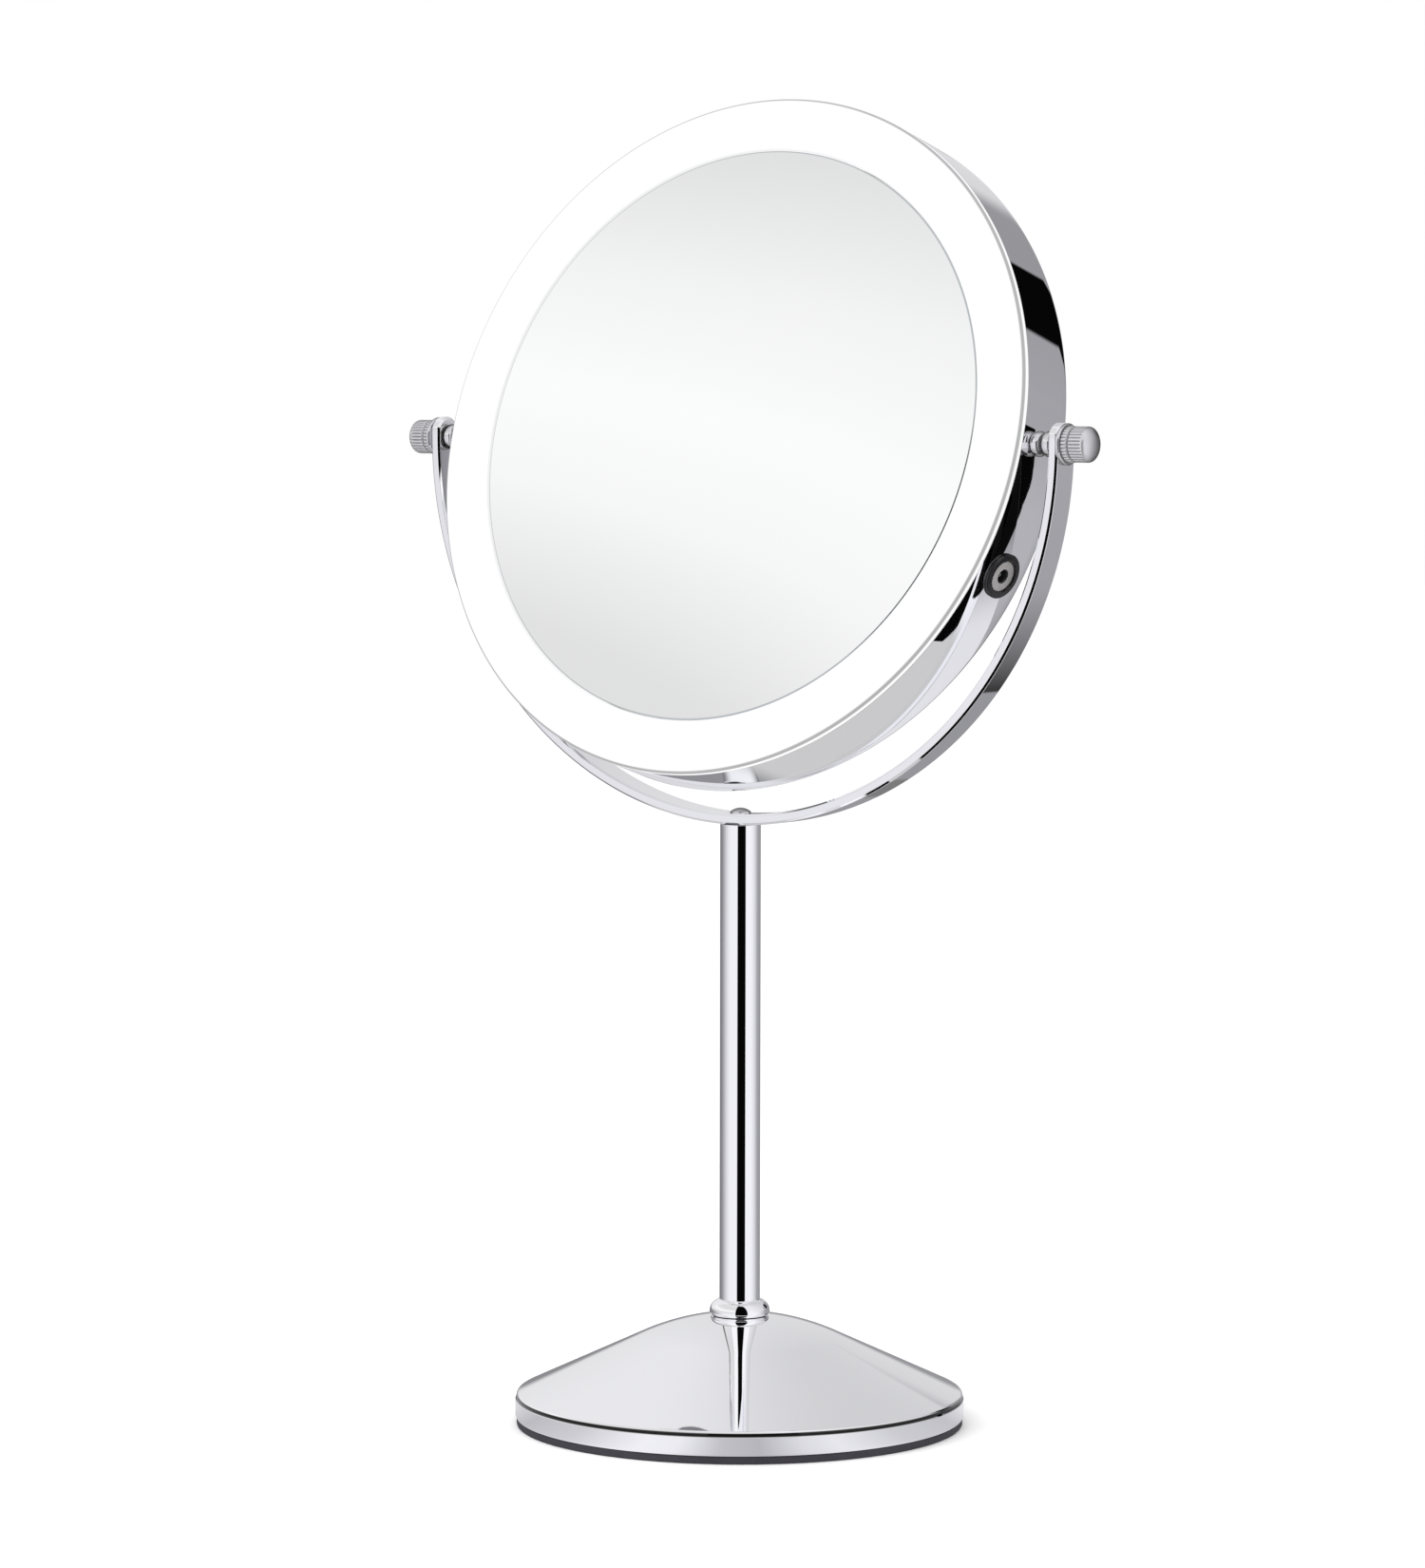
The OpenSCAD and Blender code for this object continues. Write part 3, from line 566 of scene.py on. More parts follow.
def yoke_chrome_with_painted_gap_shade():
    """The yoke's chrome, with painted shade: where the drum mirrors the arm's inner face, the narrow gap is
    painted dark for mirrored rays only.
    """
    material = chrome("chrome_plate_yoke")
    tree = material.node_tree
    x, y, z = parts_of(tree, object_point(tree))
    out = calc(tree, "ABSOLUTE", x)
    rise = calc(tree, "SUBTRACT", z, PIVOT.z)
    angle = calc(tree, "MULTIPLY", calc(tree, "ARCTAN2", rise, out), 180 / math.pi)
    inner_face = calc(tree, "LESS_THAN", hypotenuse(tree, out, rise), YOKE_R - YOKE_T / 2)
    low_enough = calc(tree, "LESS_THAN", angle, 6)
    # a slanting border of the painted shade: the whole width is dark at 13 degrees below the pivot, none of
    # it at 28
    full_at, slant = 13, 0.7 * MM
    past_full = calc(tree, "MULTIPLY", calc(tree, "ADD", angle, full_at), slant)
    border = calc(tree, "ADD", past_full, YOKE_HALF_W)
    near_front = remap(tree, calc(tree, "SUBTRACT", border, y), 0.0, 0.3 * MM, 0.0, 1.0)
    mirrored = add(tree, "ShaderNodeLightPath").outputs["Is Glossy Ray"]
    # painted shade on the arm's inner face near its front edge, shown only to mirrored rays
    tint_where(material, product(tree, inner_face, near_front, low_enough, mirrored), linear(14))
    return material


def strip_outline(quarter):
    """The flat strip as (length, width): one long side with both tips, and the whole outline."""
    tip_centre = YOKE_TIP - YOKE_TIP_R
    shoulder = math.sqrt(YOKE_TIP_R ** 2 - YOKE_HALF_W ** 2)
    side_end = quarter + tip_centre + shoulder
    steps = 180
    bend = [(quarter * (2 * i / steps - 1), YOKE_HALF_W) for i in range(steps + 1)]
    start = math.degrees(math.atan2(YOKE_HALF_W, shoulder))
    tip = arc((quarter + tip_centre, 0), YOKE_TIP_R, start, 0, 14)[1:]
    half = [(-s, w) for s, w in reversed(tip)]
    half += [(-side_end, YOKE_HALF_W)] + bend + [(side_end, YOKE_HALF_W)] + tip
    return half, half + [(s, -w) for s, w in reversed(half[1:-1])]


def bent(length, width, out, mid_r):
    """Where a point of the flat strip goes when it's bent, and the directions along and out of the strip."""
    quarter = mid_r * math.pi / 2
    if abs(length) <= quarter:
        angle = length / mid_r
        radial = Vector((math.sin(angle), 0, -math.cos(angle)))
        forward = Vector((math.cos(angle), 0, math.sin(angle)))
        return PIVOT + radial * (mid_r + out) + Vector((0, width, 0)), forward, radial
    side = 1 if length > 0 else -1
    radial = Vector((side, 0, 0))
    where = PIVOT + radial * (mid_r + out) + Vector((0, width, abs(length) - quarter))
    return where, Vector((0, 0, side)), radial


def build_yoke():
    """A strip with rounded ends and chamfered edges, laid out flat and then bent to the half circle."""
    mid_r = YOKE_R - YOKE_T / 2
    half, outline = strip_outline(mid_r * math.pi / 2)
    count = len(outline)
    t = YOKE_T / 2
    section = rounded(
        [(YOKE_CHAMFER * 1.6, t), (YOKE_CHAMFER, t), (0, t - YOKE_CHAMFER),
         (0, YOKE_CHAMFER - t), (YOKE_CHAMFER, -t), (YOKE_CHAMFER * 1.6, -t)],
        0.3 * MM, closed=False)
    width = len(section)

    points, normals, faces = [], [], []
    for i, (s, w) in enumerate(outline):
        before, after = outline[i - 1], outline[(i + 1) % count]
        run = Vector((after[0] - before[0], after[1] - before[1])).normalized()
        inward = Vector((run.y, -run.x))
        for (inset, out), (n_in, n_out) in section:
            where, forward, radial = bent(s + inward.x * inset, w + inward.y * inset, out, mid_r)
            points.append(where)
            flat = forward * inward.x + Vector((0, 1, 0)) * inward.y
            normals.append((flat * n_in + radial * n_out).normalized())
    for i in range(count):
        n = (i + 1) % count
        for k in range(width - 1):
            faces.append([i * width + k, i * width + k + 1, n * width + k + 1, n * width + k])
    for a in range(len(half) - 1):
        b = a + 1
        a_far, b_far = (count - a) % count, (count - b) % count
        for k, flip in ((0, True), (width - 1, False)):
            face = list(dict.fromkeys([a * width + k, a_far * width + k, b_far * width + k, b * width + k]))
            faces.append(face[::-1] if flip else face)
    piece("yoke_strip", points, faces, normals, "stand", yoke_chrome_with_painted_gap_shade(), "chrome", "yoke")


# ---------------------------------------------------------------- pivots

def build_pivot(side, word):
    washer_t = high("arm_washer_right").x - YOKE_R
    washer_r = high("arm_washer_right").y
    edge = 0.3 * MM
    washer = [(STUD_R, 0), (washer_r - edge, 0), (washer_r, edge), (washer_r, washer_t - edge),
              (washer_r - edge, washer_t), (STUD_R, washer_t)]
    lathe(f"arm_washer_{word}_chrome", washer, 0.12 * MM, "stand", CHROME_SMALL, "chrome",
          [f"arm_washer_{word}"], along_axis(side, YOKE_R), 96)
    round_r = 1.5 * MM
    for name, body in (("outer_bead", "stand"), ("inner_bead", "head")):
        start, end = low(f"{name}_right").x, high(f"{name}_right").x
        r = high(f"{name}_right").y
        length = end - start
        bead = [(STUD_R, 0)] + arc((r - round_r, round_r), round_r, -90, 0, 10)
        bead += arc((r - round_r, length - round_r), round_r, 0, 90, 10) + [(STUD_R, length)]
        lathe(f"{name}_{word}_chrome", bead, 0.1 * MM, body, CHROME_SMALL, "chrome",
              [f"{name}_{word}"], along_axis(side, start), 96)
    build_knob(side, word)


def knob_rows(length):
    """Rows of the thumb screw from its inner end: radius, distance, and share of the ribs' depth."""
    ring_r, grip_r = high("knob_right").y, 5.4 * MM
    ring_l, groove_l, grip_l = 2 * MM, 0.5 * MM, 4.3 * MM
    soft, nick = 0.35 * MM, 0.1 * MM
    groove_r = grip_r - 0.5 * MM
    grip_z = ring_l + groove_l
    dome_z = grip_z + grip_l
    dome_h = length - dome_z
    turns = (0.4, 0.8, 1.2, math.pi / 2)

    rows = [(STUD_R, 0, 0), (ring_r - soft, 0, 0)]
    rows += [(ring_r - soft + soft * math.sin(a), soft - soft * math.cos(a), math.sin(a)) for a in turns]
    rows += [(ring_r - soft + soft * math.cos(a), ring_l - soft + soft * math.sin(a), math.cos(a))
             for a in (0,) + turns[:3]]
    rows += [(groove_r + 1.5 * nick, ring_l, 0), (groove_r, ring_l + nick, 0)]
    rows += [(groove_r, grip_z - nick, 0), (groove_r + 1.5 * nick, grip_z, 0)]
    rows += [(grip_r - soft + soft * math.sin(a), grip_z + soft - soft * math.cos(a), math.sin(a))
             for a in turns]
    rows += [(grip_r, grip_z + grip_l * share, 1.0) for share in (0.3, 0.6, 0.85)]
    fade_from, fade_rate, dome_steps = 0.75, 3.2, 20
    for i in range(dome_steps):
        a = math.pi / 2 * i / dome_steps
        fade = max(0.0, fade_from - a * fade_rate)
        rows.append((grip_r * math.cos(a), dome_z + dome_h * math.sin(a), fade))
    return rows


def build_knob(side, word):
    """A domed thumb screw: a narrow ribbed ring, a groove, a ribbed grip and a polished dome."""
    start, end = low("knob_right").x, high("knob_right").x
    ribs, per_rib = 30, 8
    count = ribs * per_rib
    depth = 0.36 * MM
    seat_z = 3.9 * MM             # how deep the stud sits in it
    rows = knob_rows(end - start)
    place = along_axis(side, start)

    def ring(r, z, cut=0.0):
        """One row of points, let in between the ribs."""
        row = []
        for k in range(count):
            valley = 0.5 - 0.5 * math.cos(2 * math.pi * (k % per_rib) / per_rib)
            rr = r - depth * cut * valley ** 3
            a = 2 * math.pi * k / count
            row.append(place @ Vector((rr * math.cos(a), rr * math.sin(a), z)))
        return row

    points = [p for row in rows for p in ring(*row)]
    top = len(points)
    points.append(place @ Vector((0, 0, end - start)))
    inner = len(points)
    points += ring(STUD_R, seat_z)
    floor_point = len(points)
    points.append(place @ Vector((0, 0, seat_z)))

    faces = []
    last = (len(rows) - 1) * count
    for k in range(count):
        n = (k + 1) % count
        for first in range(0, last, count):
            faces.append([first + k, first + n, first + count + n, first + count + k])
        faces.append([last + k, last + n, top])
        faces.append([inner + k, inner + n, n, k])
        faces.append([inner + n, inner + k, floor_point])
    piece(f"knob_{word}_ribbed", points, faces, None, f"thumb_screw_{word}", CHROME_SATIN,
          "chrome_knob", f"knob_{word}")


# ---------------------------------------------------------------- head

def socket_place():
    """A frame at the socket, z pointing out of the drum."""
    lowest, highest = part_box("socket_pin")
    middle = (lowest + highest) / 2
    local = HEAD.inverted() @ middle
    angle = math.atan2(local.y, local.x)
    out = HEAD.to_3x3() @ Vector((math.cos(angle), math.sin(angle), 0))
    along = -HEAD_Z
    round_way = out.cross(along)
    where = HEAD @ Vector((DRUM_R * math.cos(angle), DRUM_R * math.sin(angle), local.z))
    return Matrix((
        (along.x, round_way.x, out.x, where.x),
        (along.y, round_way.y, out.y, where.y),
        (along.z, round_way.z, out.z, where.z),
        (0, 0, 0, 1),
    ))


SOCKET = socket_place()


def cut_by(obj, outline, place):
    """Cuts a turned tool out of a mesh and keeps the mesh's own smooth normals."""
    uncut = obj.copy()
    uncut.data = obj.data.copy()
    bpy.context.scene.collection.objects.link(uncut)
    mesh = bpy.data.meshes.new("tool")
    profile = rounded(outline, 0.02 * MM, False)
    points, faces = lathe_mesh(profile, 64, False, place)[:2]
    mesh.from_pydata([tuple(p) for p in points], [], faces)
    tool = bpy.data.objects.new("tool", mesh)
    bpy.context.scene.collection.objects.link(tool)
    cut = obj.modifiers.new("cut", "BOOLEAN")
    cut.object = tool
    cut.solver = "EXACT"
    keep = obj.modifiers.new("normals", "DATA_TRANSFER")
    keep.object = uncut
    keep.use_loop_data = True
    keep.data_types_loops = {"CUSTOM_NORMAL"}
    keep.loop_mapping = "POLYINTERP_NEAREST"
    bpy.context.view_layer.update()
    evaluated = obj.evaluated_get(bpy.context.evaluated_depsgraph_get())
    result = bpy.data.meshes.new_from_object(evaluated)
    obj.modifiers.clear()
    obj.data = result
    for extra in (uncut, tool):
        bpy.data.objects.remove(extra)


def build_drum():
    inner = DRUM_R - DRUM_T
    back = DRUM_BACK
    wall_start = back + DRUM_ROUND
    wall_rows = 10
    wall_row = (DRUM_FRONT - wall_start) / wall_rows
    outline = [(REAR_WINDOW_R, back)]
    outline += arc((DRUM_R - DRUM_ROUND, wall_start), DRUM_ROUND, -90, 0, 12)
    outline += [(DRUM_R, wall_start + wall_row * i) for i in range(1, wall_rows + 1)]
    outline += [(inner, DRUM_FRONT), (inner, back + 2 * DRUM_T), (inner - DRUM_T, back + DRUM_T),
                (REAR_WINDOW_R, back + DRUM_T)]
    drum = lathe("drum_shell", outline, 0.2 * MM, "head", CHROME, "chrome_drum", ["drum"], HEAD, 288)
    hole_r, reach_in, reach_out = 6.3 * MM, -3 * MM, 2 * MM
    cut_by(drum, [(0, reach_in), (hole_r, reach_in), (hole_r, reach_out), (0, reach_out)], SOCKET)


def build_light_ring():
    front = RING_FRONT
    glass = GLASS_R + 0.2 * MM
    outer_round, inner_round = 1.2 * MM, 0.6 * MM
    skirt_t, ring_t = 1.7 * MM, 2 * MM
    back = front - ring_t
    skirt = back - 2.3 * MM
    seat = DRUM_R - DRUM_T - 0.05 * MM
    outline = [(glass, skirt), (glass + skirt_t, skirt), (glass + skirt_t, back), (seat - skirt_t, back),
               (seat - skirt_t, skirt), (seat, skirt), (seat, DRUM_FRONT), (DRUM_R, DRUM_FRONT)]
    outline += arc((DRUM_R - outer_round, front - outer_round), outer_round, 0, 90, 10)
    outline += arc((glass + inner_round, front - inner_round), inner_round, 90, 180, 6)
    lathe("light_ring_diffuser", outline, 0.08 * MM, "head", DIFFUSER, "diffuser", ["light_ring"],
          HEAD, 288)


def build_mirrors():
    rim_z = RING_FRONT - 0.4 * MM
    centre_z = rim_z + math.sqrt(MIRROR_CURVE_R ** 2 - GLASS_R ** 2)
    steps = 40
    ground = 0.35 * MM

    def bowl(sphere_r, edge_r):
        """A spherical face from its centre to its edge."""
        radii = [edge_r * i / steps for i in range(steps + 1)]
        return [(r, centre_z - math.sqrt(sphere_r ** 2 - r ** 2)) for r in radii]

    outline = bowl(MIRROR_CURVE_R + GLASS_T, GLASS_R) + [(GLASS_R, rim_z - ground)]
    outline += reversed(bowl(MIRROR_CURVE_R, GLASS_R - ground))
    lathe("front_mirror_glass", outline, 0.06 * MM, "head", FRONT_GLASS, "front_glass", ["front_mirror"],
          HEAD, 288, closed=False)
    back_z, front_z = head_span("rear_mirror")
    r = high("rear_mirror").x
    outline = [(0, back_z), (r, back_z), (r, front_z), (0, front_z)]
    lathe("rear_mirror_glass", outline, 0.2 * MM, "head", REAR_GLASS, "rear_glass", ["rear_mirror"],
          HEAD, 288, closed=False)


def socket_face():
    """Grey plastic of the insert, with painted shade inside its hole."""
    material = finish("socket_grey", (160, 158, 157), 0.3, grain=1800, bump=0.12, variation=0.05)
    tree = material.node_tree
    hole = remap(tree, axis_radius(tree, SOCKET)[0], 2.2 * MM, 2.4 * MM, 1.0, 0.0)
    # painted shade: the insert darkened inside its hole
    tint_where(material, hole, linear(34))
    return material


def build_socket():
    insert_r = 4.8 * MM
    gap = 0.05 * MM
    barrel_r, barrel_l = 6.2 * MM, 6 * MM
    bezel_r, flange_t, edge = 7.1 * MM, 1 * MM, 0.4 * MM
    bezel = [(insert_r + gap, -barrel_l), (barrel_r, -barrel_l), (barrel_r, 0), (bezel_r, 0),
             (bezel_r, flange_t - edge), (bezel_r - edge, flange_t), (insert_r + edge, flange_t),
             (insert_r + gap, flange_t - edge)]
    lathe("socket_bezel_ring", bezel, 0.2 * MM, "head", SOCKET_BLACK, "socket_black",
          ["socket_bezel"], SOCKET, 96)
    hole_r, top, thick = 1.85 * MM, 0.5 * MM, 3.5 * MM
    lead = 0.35 * MM
    bevel = 0.15 * MM
    insert = [(hole_r, top - thick), (insert_r, top - thick), (insert_r, top - bevel),
              (insert_r - bevel, top), (hole_r + lead, top), (hole_r, top - lead)]
    lathe("socket_insert_face", insert, 0.1 * MM, "head", socket_face(), "socket_grey",
          ["socket_insert"], SOCKET, 96)


def build_yoke_screw():
    """A pan head screw; its shank stays inside the column."""
    seat = low("yoke_screw").z
    highest = high("yoke_screw").z
    head_r = high("yoke_screw").x
    shank_r = 1.95 * MM
    head_h = 1.9 * MM
    head_z = highest - head_h
    crown_r, edge_h = 5 * MM, 0.7 * MM
    crown = math.degrees(math.acos(head_r / crown_r))
    crown_z = head_z + edge_h - crown_r * math.sin(math.radians(crown))
    outline = [(0, seat), (shank_r, seat), (shank_r, head_z), (head_r, head_z)]
    outline += arc((0, crown_z), crown_r, crown, 90, 12)
    outline[-1] = (0, highest)
    lathe("yoke_screw_head", outline, 0.15 * MM, "stand", CHROME_SMALL, "chrome_screw", ["yoke_screw"],
          segments=96, closed=False)


# ---------------------------------------------------------------- finishes of the CAD nodes that stay

KEPT = {
    "base_plate": PLAIN_STEEL, "base_weight": IRON, "base_screws": ZINC,
    "column_bolt": ZINC, "column_bolt_washer": ZINC,
    "column_foot_plug": PLAIN_STEEL, "column_head_plug": PLAIN_STEEL,
    "arm_bush_left": NYLON, "arm_bush_right": NYLON,
    "friction_washer_left": DARK_NYLON, "friction_washer_right": DARK_NYLON,
    "pivot_boss_left": PLAIN_STEEL, "pivot_boss_right": PLAIN_STEEL,
    "knob_stud_left": ZINC, "knob_stud_right": ZINC,
    "front_mirror_tape": TAPE, "rear_mirror_tape": TAPE, "inner_frame": FRAME_PLASTIC,
    "led_board": LAMP_BOARD, "leds": PHOSPHOR, "control_board": GREEN_BOARD, "board_parts": BLACK_EPOXY,
    "board_screws": ZINC, "battery": FOIL, "battery_tape": TAPE,
    "touch_board": GREEN_BOARD, "touch_contact": CONTACT_FOAM,
    "socket_body": SOCKET_BLACK, "socket_pin": PLAIN_STEEL, "socket_nut": ZINC,
    "socket_wires": RED_SLEEVE, "battery_wires": RED_SLEEVE,
    "led_wires": WHITE_SLEEVE, "touch_wires": WHITE_SLEEVE,
}


def paint_kept_nodes():
    for node, material in KEPT.items():
        materials = frame["nodes"][node].data.materials
        materials.clear()
        materials.append(material)


# ---------------------------------------------------------------- studio

# bearings between which the studio's black card makes the column's dark stripe
STRIPE_FROM, STRIPE_TO = 19.5, 66


def sky(tree, turn, rise):
    """The studio's shades by direction, in degrees: the walls, a lighter upper part and a pale floor."""
    level = shades(tree, turn, -180, 180, [
        (-180, 150), (-150, 152), (-122, 124), (-104, 128), (-84, 146), (-64, 186), (-44, 223), (-24, 242),
        (68, 246), (98, 246), (115, 233), (135, 200), (148, 164), (180, 150),
    ])
    overhead = shades(tree, rise, 0, 90, [
        (0, 214), (13, 226), (19, 246), (24.5, 255), (29, 250), (35, 228), (54, 222), (90, 238),
    ], violet=0)
    around = shades(tree, turn, -180, 180, [
        (-180, 203), (-160, 216), (-140, 226), (-122, 235), (-90, 240),
        (90, 240), (120, 228), (150, 216), (180, 203),
    ], violet=2)
    above = remap(tree, rise, 20.5, 26, 0.0, 1.0, True)
    left_side = product(tree, window(tree, turn, -164, 12, 8), remap(tree, rise, 0, 8, 0.0, 1.0, True))
    right_side = product(tree, window(tree, turn, 92, 149, 10), remap(tree, rise, 5, 11, 0.0, 1.0, True))
    upper = blend_colour(tree, window(tree, turn, -90, 60, 6), around, overhead)
    is_upper = calc(tree, "MAXIMUM", above, calc(tree, "MAXIMUM", left_side, right_side))
    below = remap(tree, rise, -42, -35, 1.0, 0.0, True)
    return blend_colour(tree, below, blend_colour(tree, is_upper, level, upper), linear(204))


def sky_cards(tree, turn, rise, ray_depth):
    """Grey values and masks of the studio's cards."""
    twice = calc(tree, "GREATER_THAN", ray_depth, 2.5)      # the sky itself counts as one more
    once = calc(tree, "SUBTRACT", 1.0, twice)
    fading = product(tree, remap(tree, turn, 156, 175, 0.0, 1.0), window(tree, turn, 100, 176, 0.8))

    def card(turn_from, turn_to, rise_from, rise_to, soft_turn=1.0, soft_rise=1.0):
        return product(tree, window(tree, turn, turn_from, turn_to, soft_turn),
                       window(tree, rise, rise_from, rise_to, soft_rise))

    def mirrored_twice(*sides):
        return product(tree, twice, card(*sides))

    return [
        # stripe of the column, front edges of the arms
        (6, product(tree, once, card(STRIPE_FROM, STRIPE_TO, -84, 24, 3.0, 4.0))),
        # drum, above the right pivot
        (6, card(162.3, 177.4, 8, 27)),
        # the column's image in the cone: two white bands, a grey edge and the stripe
        (255, mirrored_twice(-19, 17, 10, 80, 3.0, 6.0)),
        (255, mirrored_twice(69, 104, 10, 80, 3.0, 6.0)),
        (110, mirrored_twice(-116, -88, 10, 80, 8.0, 6.0)),
        (6, mirrored_twice(STRIPE_FROM, STRIPE_TO, 10, 80, 3.0, 6.0)),
        # a low grey strip that fades in towards the back
        (60, product(tree, fading, window(tree, rise, -38, -22, 4))),
        # outside of the yoke, low down
        (125, card(-158, -152.5, -29, -20)),
    ]


def background(tree, colour, strength=1.0):
    node = add(tree, "ShaderNodeBackground")
    wire(tree, colour, node.inputs["Color"])
    node.inputs["Strength"].default_value = strength
    return node.outputs[0]


def choose(tree, switch, when_off, when_on):
    """One of two shaders."""
    node = add(tree, "ShaderNodeMixShader")
    for item, socket in zip((switch, when_off, when_on), node.inputs):
        wire(tree, item, socket)
    return node.outputs[0]


def studio_world():
    """White to the camera, an even light on matt surfaces, and a studio with cards in polished ones."""
    world = bpy.data.worlds.new("studio")
    bpy.context.scene.world = world
    world.use_nodes = True
    tree = world.node_tree
    tree.nodes.clear()
    direction = add(tree, "ShaderNodeTexCoord").outputs["Generated"]
    turn = azimuth(tree, direction)
    rise = calc(tree, "MULTIPLY", calc(tree, "ARCSINE", parts_of(tree, direction)[2]), 180 / math.pi)
    path = add(tree, "ShaderNodeLightPath")

    shade = sky(tree, turn, rise)
    for grey, mask in sky_cards(tree, turn, rise, path.outputs["Ray Depth"]):
        shade = blend_colour(tree, mask, shade, linear(grey))

    white = linear(255)
    matt, polished = background(tree, white, 1.16), background(tree, shade)
    light = choose(tree, path.outputs["Is Glossy Ray"], matt, polished)
    seen = choose(tree, path.outputs["Is Camera Ray"], light, background(tree, white))
    wire(tree, seen, add(tree, "ShaderNodeOutputWorld").inputs[0])
    world.cycles.sampling_method = "NONE"


def stage_sheet(name, points, material, mirrored_only):
    """A flat sheet of the studio; mirrored_only keeps it out of sight except in polished surfaces."""
    mesh = bpy.data.meshes.new(name)
    mesh.from_pydata(points, [], [list(range(len(points)))])
    mesh.materials.append(material)
    obj = bpy.data.objects.new(name, mesh)
    bpy.context.scene.collection.objects.link(obj)
    obj.visible_glossy = mirrored_only
    if mirrored_only:
        obj.visible_camera = False
        obj.visible_diffuse = False
        obj.visible_transmission = False
        obj.visible_shadow = False


def mirror_point(tree):
    """Where on the object the ray that arrives at a stage sheet was mirrored."""
    geometry = add(tree, "ShaderNodeNewGeometry")
    way_back = add(tree, "ShaderNodeVectorMath", operation="SCALE")
    wire(tree, geometry.outputs["Incoming"], way_back.inputs[0])
    wire(tree, add(tree, "ShaderNodeLightPath").outputs["Ray Length"], way_back.inputs["Scale"])
    point = add(tree, "ShaderNodeVectorMath", operation="ADD")
    wire(tree, geometry.outputs["Position"], point.inputs[0])
    wire(tree, way_back.outputs[0], point.inputs[1])
    return point.outputs[0]


def glowing(name, colour, seen_by):
    """An even glow that only shows where seen_by gives 1.

    seen_by makes its mask in the material's tree; colour is plain or made in the same way."""
    material = bpy.data.materials.new(name)
    material.use_nodes = True
    tree = material.node_tree
    tree.nodes.clear()
    light = add(tree, "ShaderNodeEmission")
    wire(tree, colour(tree) if callable(colour) else colour, light.inputs["Color"])
    clear = add(tree, "ShaderNodeBsdfTransparent")
    seen = choose(tree, seen_by(tree), clear.outputs[0], light.outputs[0])
    wire(tree, seen, add(tree, "ShaderNodeOutputMaterial").inputs["Surface"])
    return material


def on_drum_wall(tree):
    across = axis_radius(tree, HEAD, mirror_point(tree))[0]
    off_wall = calc(tree, "ABSOLUTE", calc(tree, "SUBTRACT", across, DRUM_R))
    return calc(tree, "LESS_THAN", off_wall, 0.3 * MM)


def on_collar(tree):
    across, height = axis_radius(tree, Matrix.Identity(4), mirror_point(tree))
    margin = 0.1 * MM
    past_tube = calc(tree, "GREATER_THAN", across, TUBE_R + margin)
    within = calc(tree, "LESS_THAN", across, COLLAR_R + margin)
    above_seat = calc(tree, "GREATER_THAN", height, SEAT_Z + margin)
    return product(tree, past_tube, within, above_seat)


def on_rim_band(tree):
    height = parts_of(tree, mirror_point(tree))[2]
    return calc(tree, "LESS_THAN", height, SHOULDER_Z + SHOULDER_R)


def rim_band_painted_reflection(tree):
    """Painted reflection on the rim band: the shades it shows, by direction from the base's centre."""
    return shades(tree, azimuth(tree, object_point(tree)), -180, 180, [
        (-180, 206), (-70, 218), (-48, 190), (-22, 207), (4, 243), (16, 239), (30, 195),
        (42, 184), (56, 222), (68, 235), (92, 206), (120, 196), (142, 230), (180, 206),
    ])


def bearing(degrees):
    """A level direction: 0 is towards -Y, 90 towards +X."""
    angle = math.radians(degrees)
    return Vector((math.sin(angle), -math.cos(angle), 0))


def table():
    """A pale floor, and just above it a disc that only the rim band mirrors: a painted reflection on the rim
    band.
    """
    size = 6.0
    pale = finish("pale_floor", 250, 0.6, grain=40, bump=0.02, variation=0.004)
    corners = [(-size, -size, 0), (size, -size, 0), (size, size, 0), (-size, size, 0)]
    stage_sheet("floor", corners, pale, False)
    disc_r, disc_z = 160 * MM, 0.4 * MM
    disc = [(x, y, disc_z) for x, y in arc((0, 0), disc_r, 0, 360, 64)[:-1]]
    # painted reflection: a glowing disc seen only in the rim band
    stage_sheet("table_near_base", disc, glowing("rim_band_painted_reflection", rim_band_painted_reflection, on_rim_band), True)


def drum_painted_reflection_card():
    """An upright dark sheet beyond the head's right side, seen only in the drum wall: a painted reflection
    that the drum shows past the yoke.

    It stands edge-on to the column; its outline is (distance out, height) in metres."""
    outline = [(0.262, 0.3175), (0.274, 0.303), (0.287, 0.292), (0.298, 0.279), (0.309, 0.264),
               (0.32, 0.249), (0.33, 0.233), (0.337, 0.215), (0.343, 0.197), (0.346, 0.18),
               (0.344, 0.163), (0.338, 0.145), (0.325, 0.127), (0.3, 0.105), (0.262, 0.094),
               (0.2225, 0.088), (0.2225, 0.05), (0.45, 0.05), (0.45, 0.355)]
    away, up = bearing(128), Vector((0, 0, 1))
    points = [away * out + up * height for out, height in outline]
    # painted reflection: the dark sheet shows only in the drum wall
    stage_sheet("drum_painted_reflection_card", points, glowing("drum_painted_reflection_card", linear(6), on_drum_wall), True)


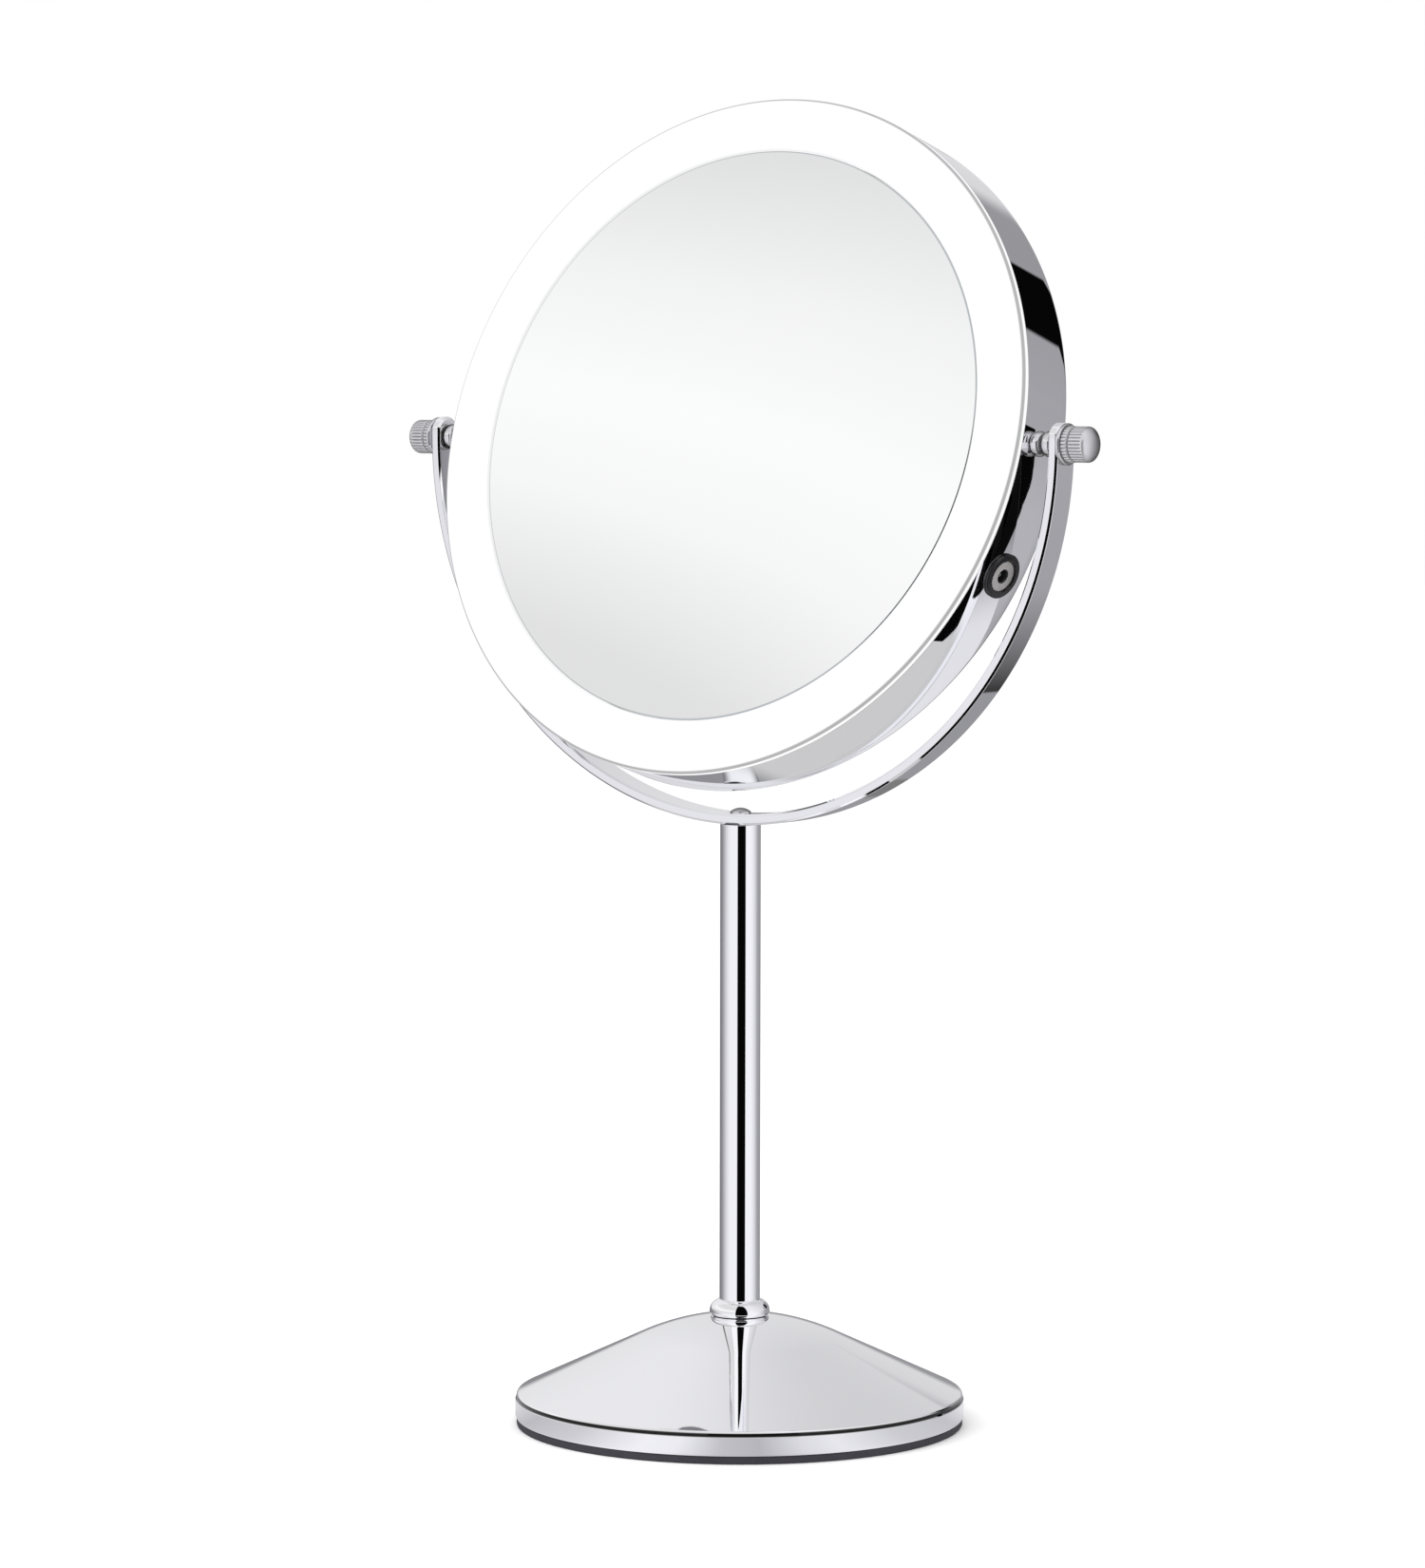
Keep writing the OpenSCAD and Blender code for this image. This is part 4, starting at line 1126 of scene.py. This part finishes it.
def collar_painted_reflection_card():
    """The column's dark stripe carried over the collar: an upright dark sheet at the same bearings, seen
    only in the collar, a painted reflection.
    """
    near, far = bearing(STRIPE_FROM) * 0.5, bearing(STRIPE_TO) * 0.5
    low_end, high_end = Vector((0, 0, -0.5)), Vector((0, 0, 2))
    points = [near + low_end, far + low_end, far + high_end, near + high_end]
    # painted reflection: the dark sheet shows only in the collar
    stage_sheet("collar_painted_reflection_card", points, glowing("collar_painted_reflection_card", linear(6), on_collar), True)


def soft_light(name, position, target, size, power):
    data = bpy.data.lights.new(name, "AREA")
    data.energy = power
    data.size = size
    obj = bpy.data.objects.new(name, data)
    bpy.context.scene.collection.objects.link(obj)
    obj.location = position
    obj.rotation_mode = "QUATERNION"
    obj.rotation_quaternion = (Vector(target) - Vector(position)).to_track_quat("-Z", "Y")
    obj.visible_glossy = False


def camera():
    """Three-quarter view from the front right, a little above the table."""
    view_turn, elevation = math.radians(35.72), math.radians(4.25)
    roll = math.radians(0.11)
    distance = 1.79236
    target = Vector((0, 0, 0.2))
    back = Vector((math.sin(view_turn) * math.cos(elevation), -math.cos(view_turn) * math.cos(elevation),
                   math.sin(elevation)))
    across = Vector((math.cos(view_turn), math.sin(view_turn), 0))
    up = across.cross(-back)
    right = across * math.cos(roll) + up * math.sin(roll)
    top = up * math.cos(roll) - across * math.sin(roll)
    data = bpy.data.cameras.new("camera")
    data.sensor_width = 36
    data.lens = 132.21
    data.shift_x = -0.01795
    data.shift_y = 0.00172
    data.clip_start = 0.05
    data.clip_end = 50
    obj = bpy.data.objects.new("camera", data)
    bpy.context.scene.collection.objects.link(obj)
    place = target + back * distance
    obj.matrix_world = Matrix((
        (right.x, top.x, back.x, place.x),
        (right.y, top.y, back.y, place.y),
        (right.z, top.z, back.z, place.z),
        (0, 0, 0, 1),
    ))
    bpy.context.scene.camera = obj


build_base()
build_column()
build_yoke()
build_yoke_screw()
for side, word in ((-1, "left"), (1, "right")):
    build_pivot(side, word)
build_drum()
build_light_ring()
build_mirrors()
build_socket()
paint_kept_nodes()

studio_world()
table()
drum_painted_reflection_card()
collar_painted_reflection_card()
soft_light("overhead", (-0.4, -0.9, 1.8), (0, 0, 0), 1.6, 14)
camera()
bpy.context.scene.view_settings.view_transform = "Standard"
bpy.context.scene.view_settings.look = "None"
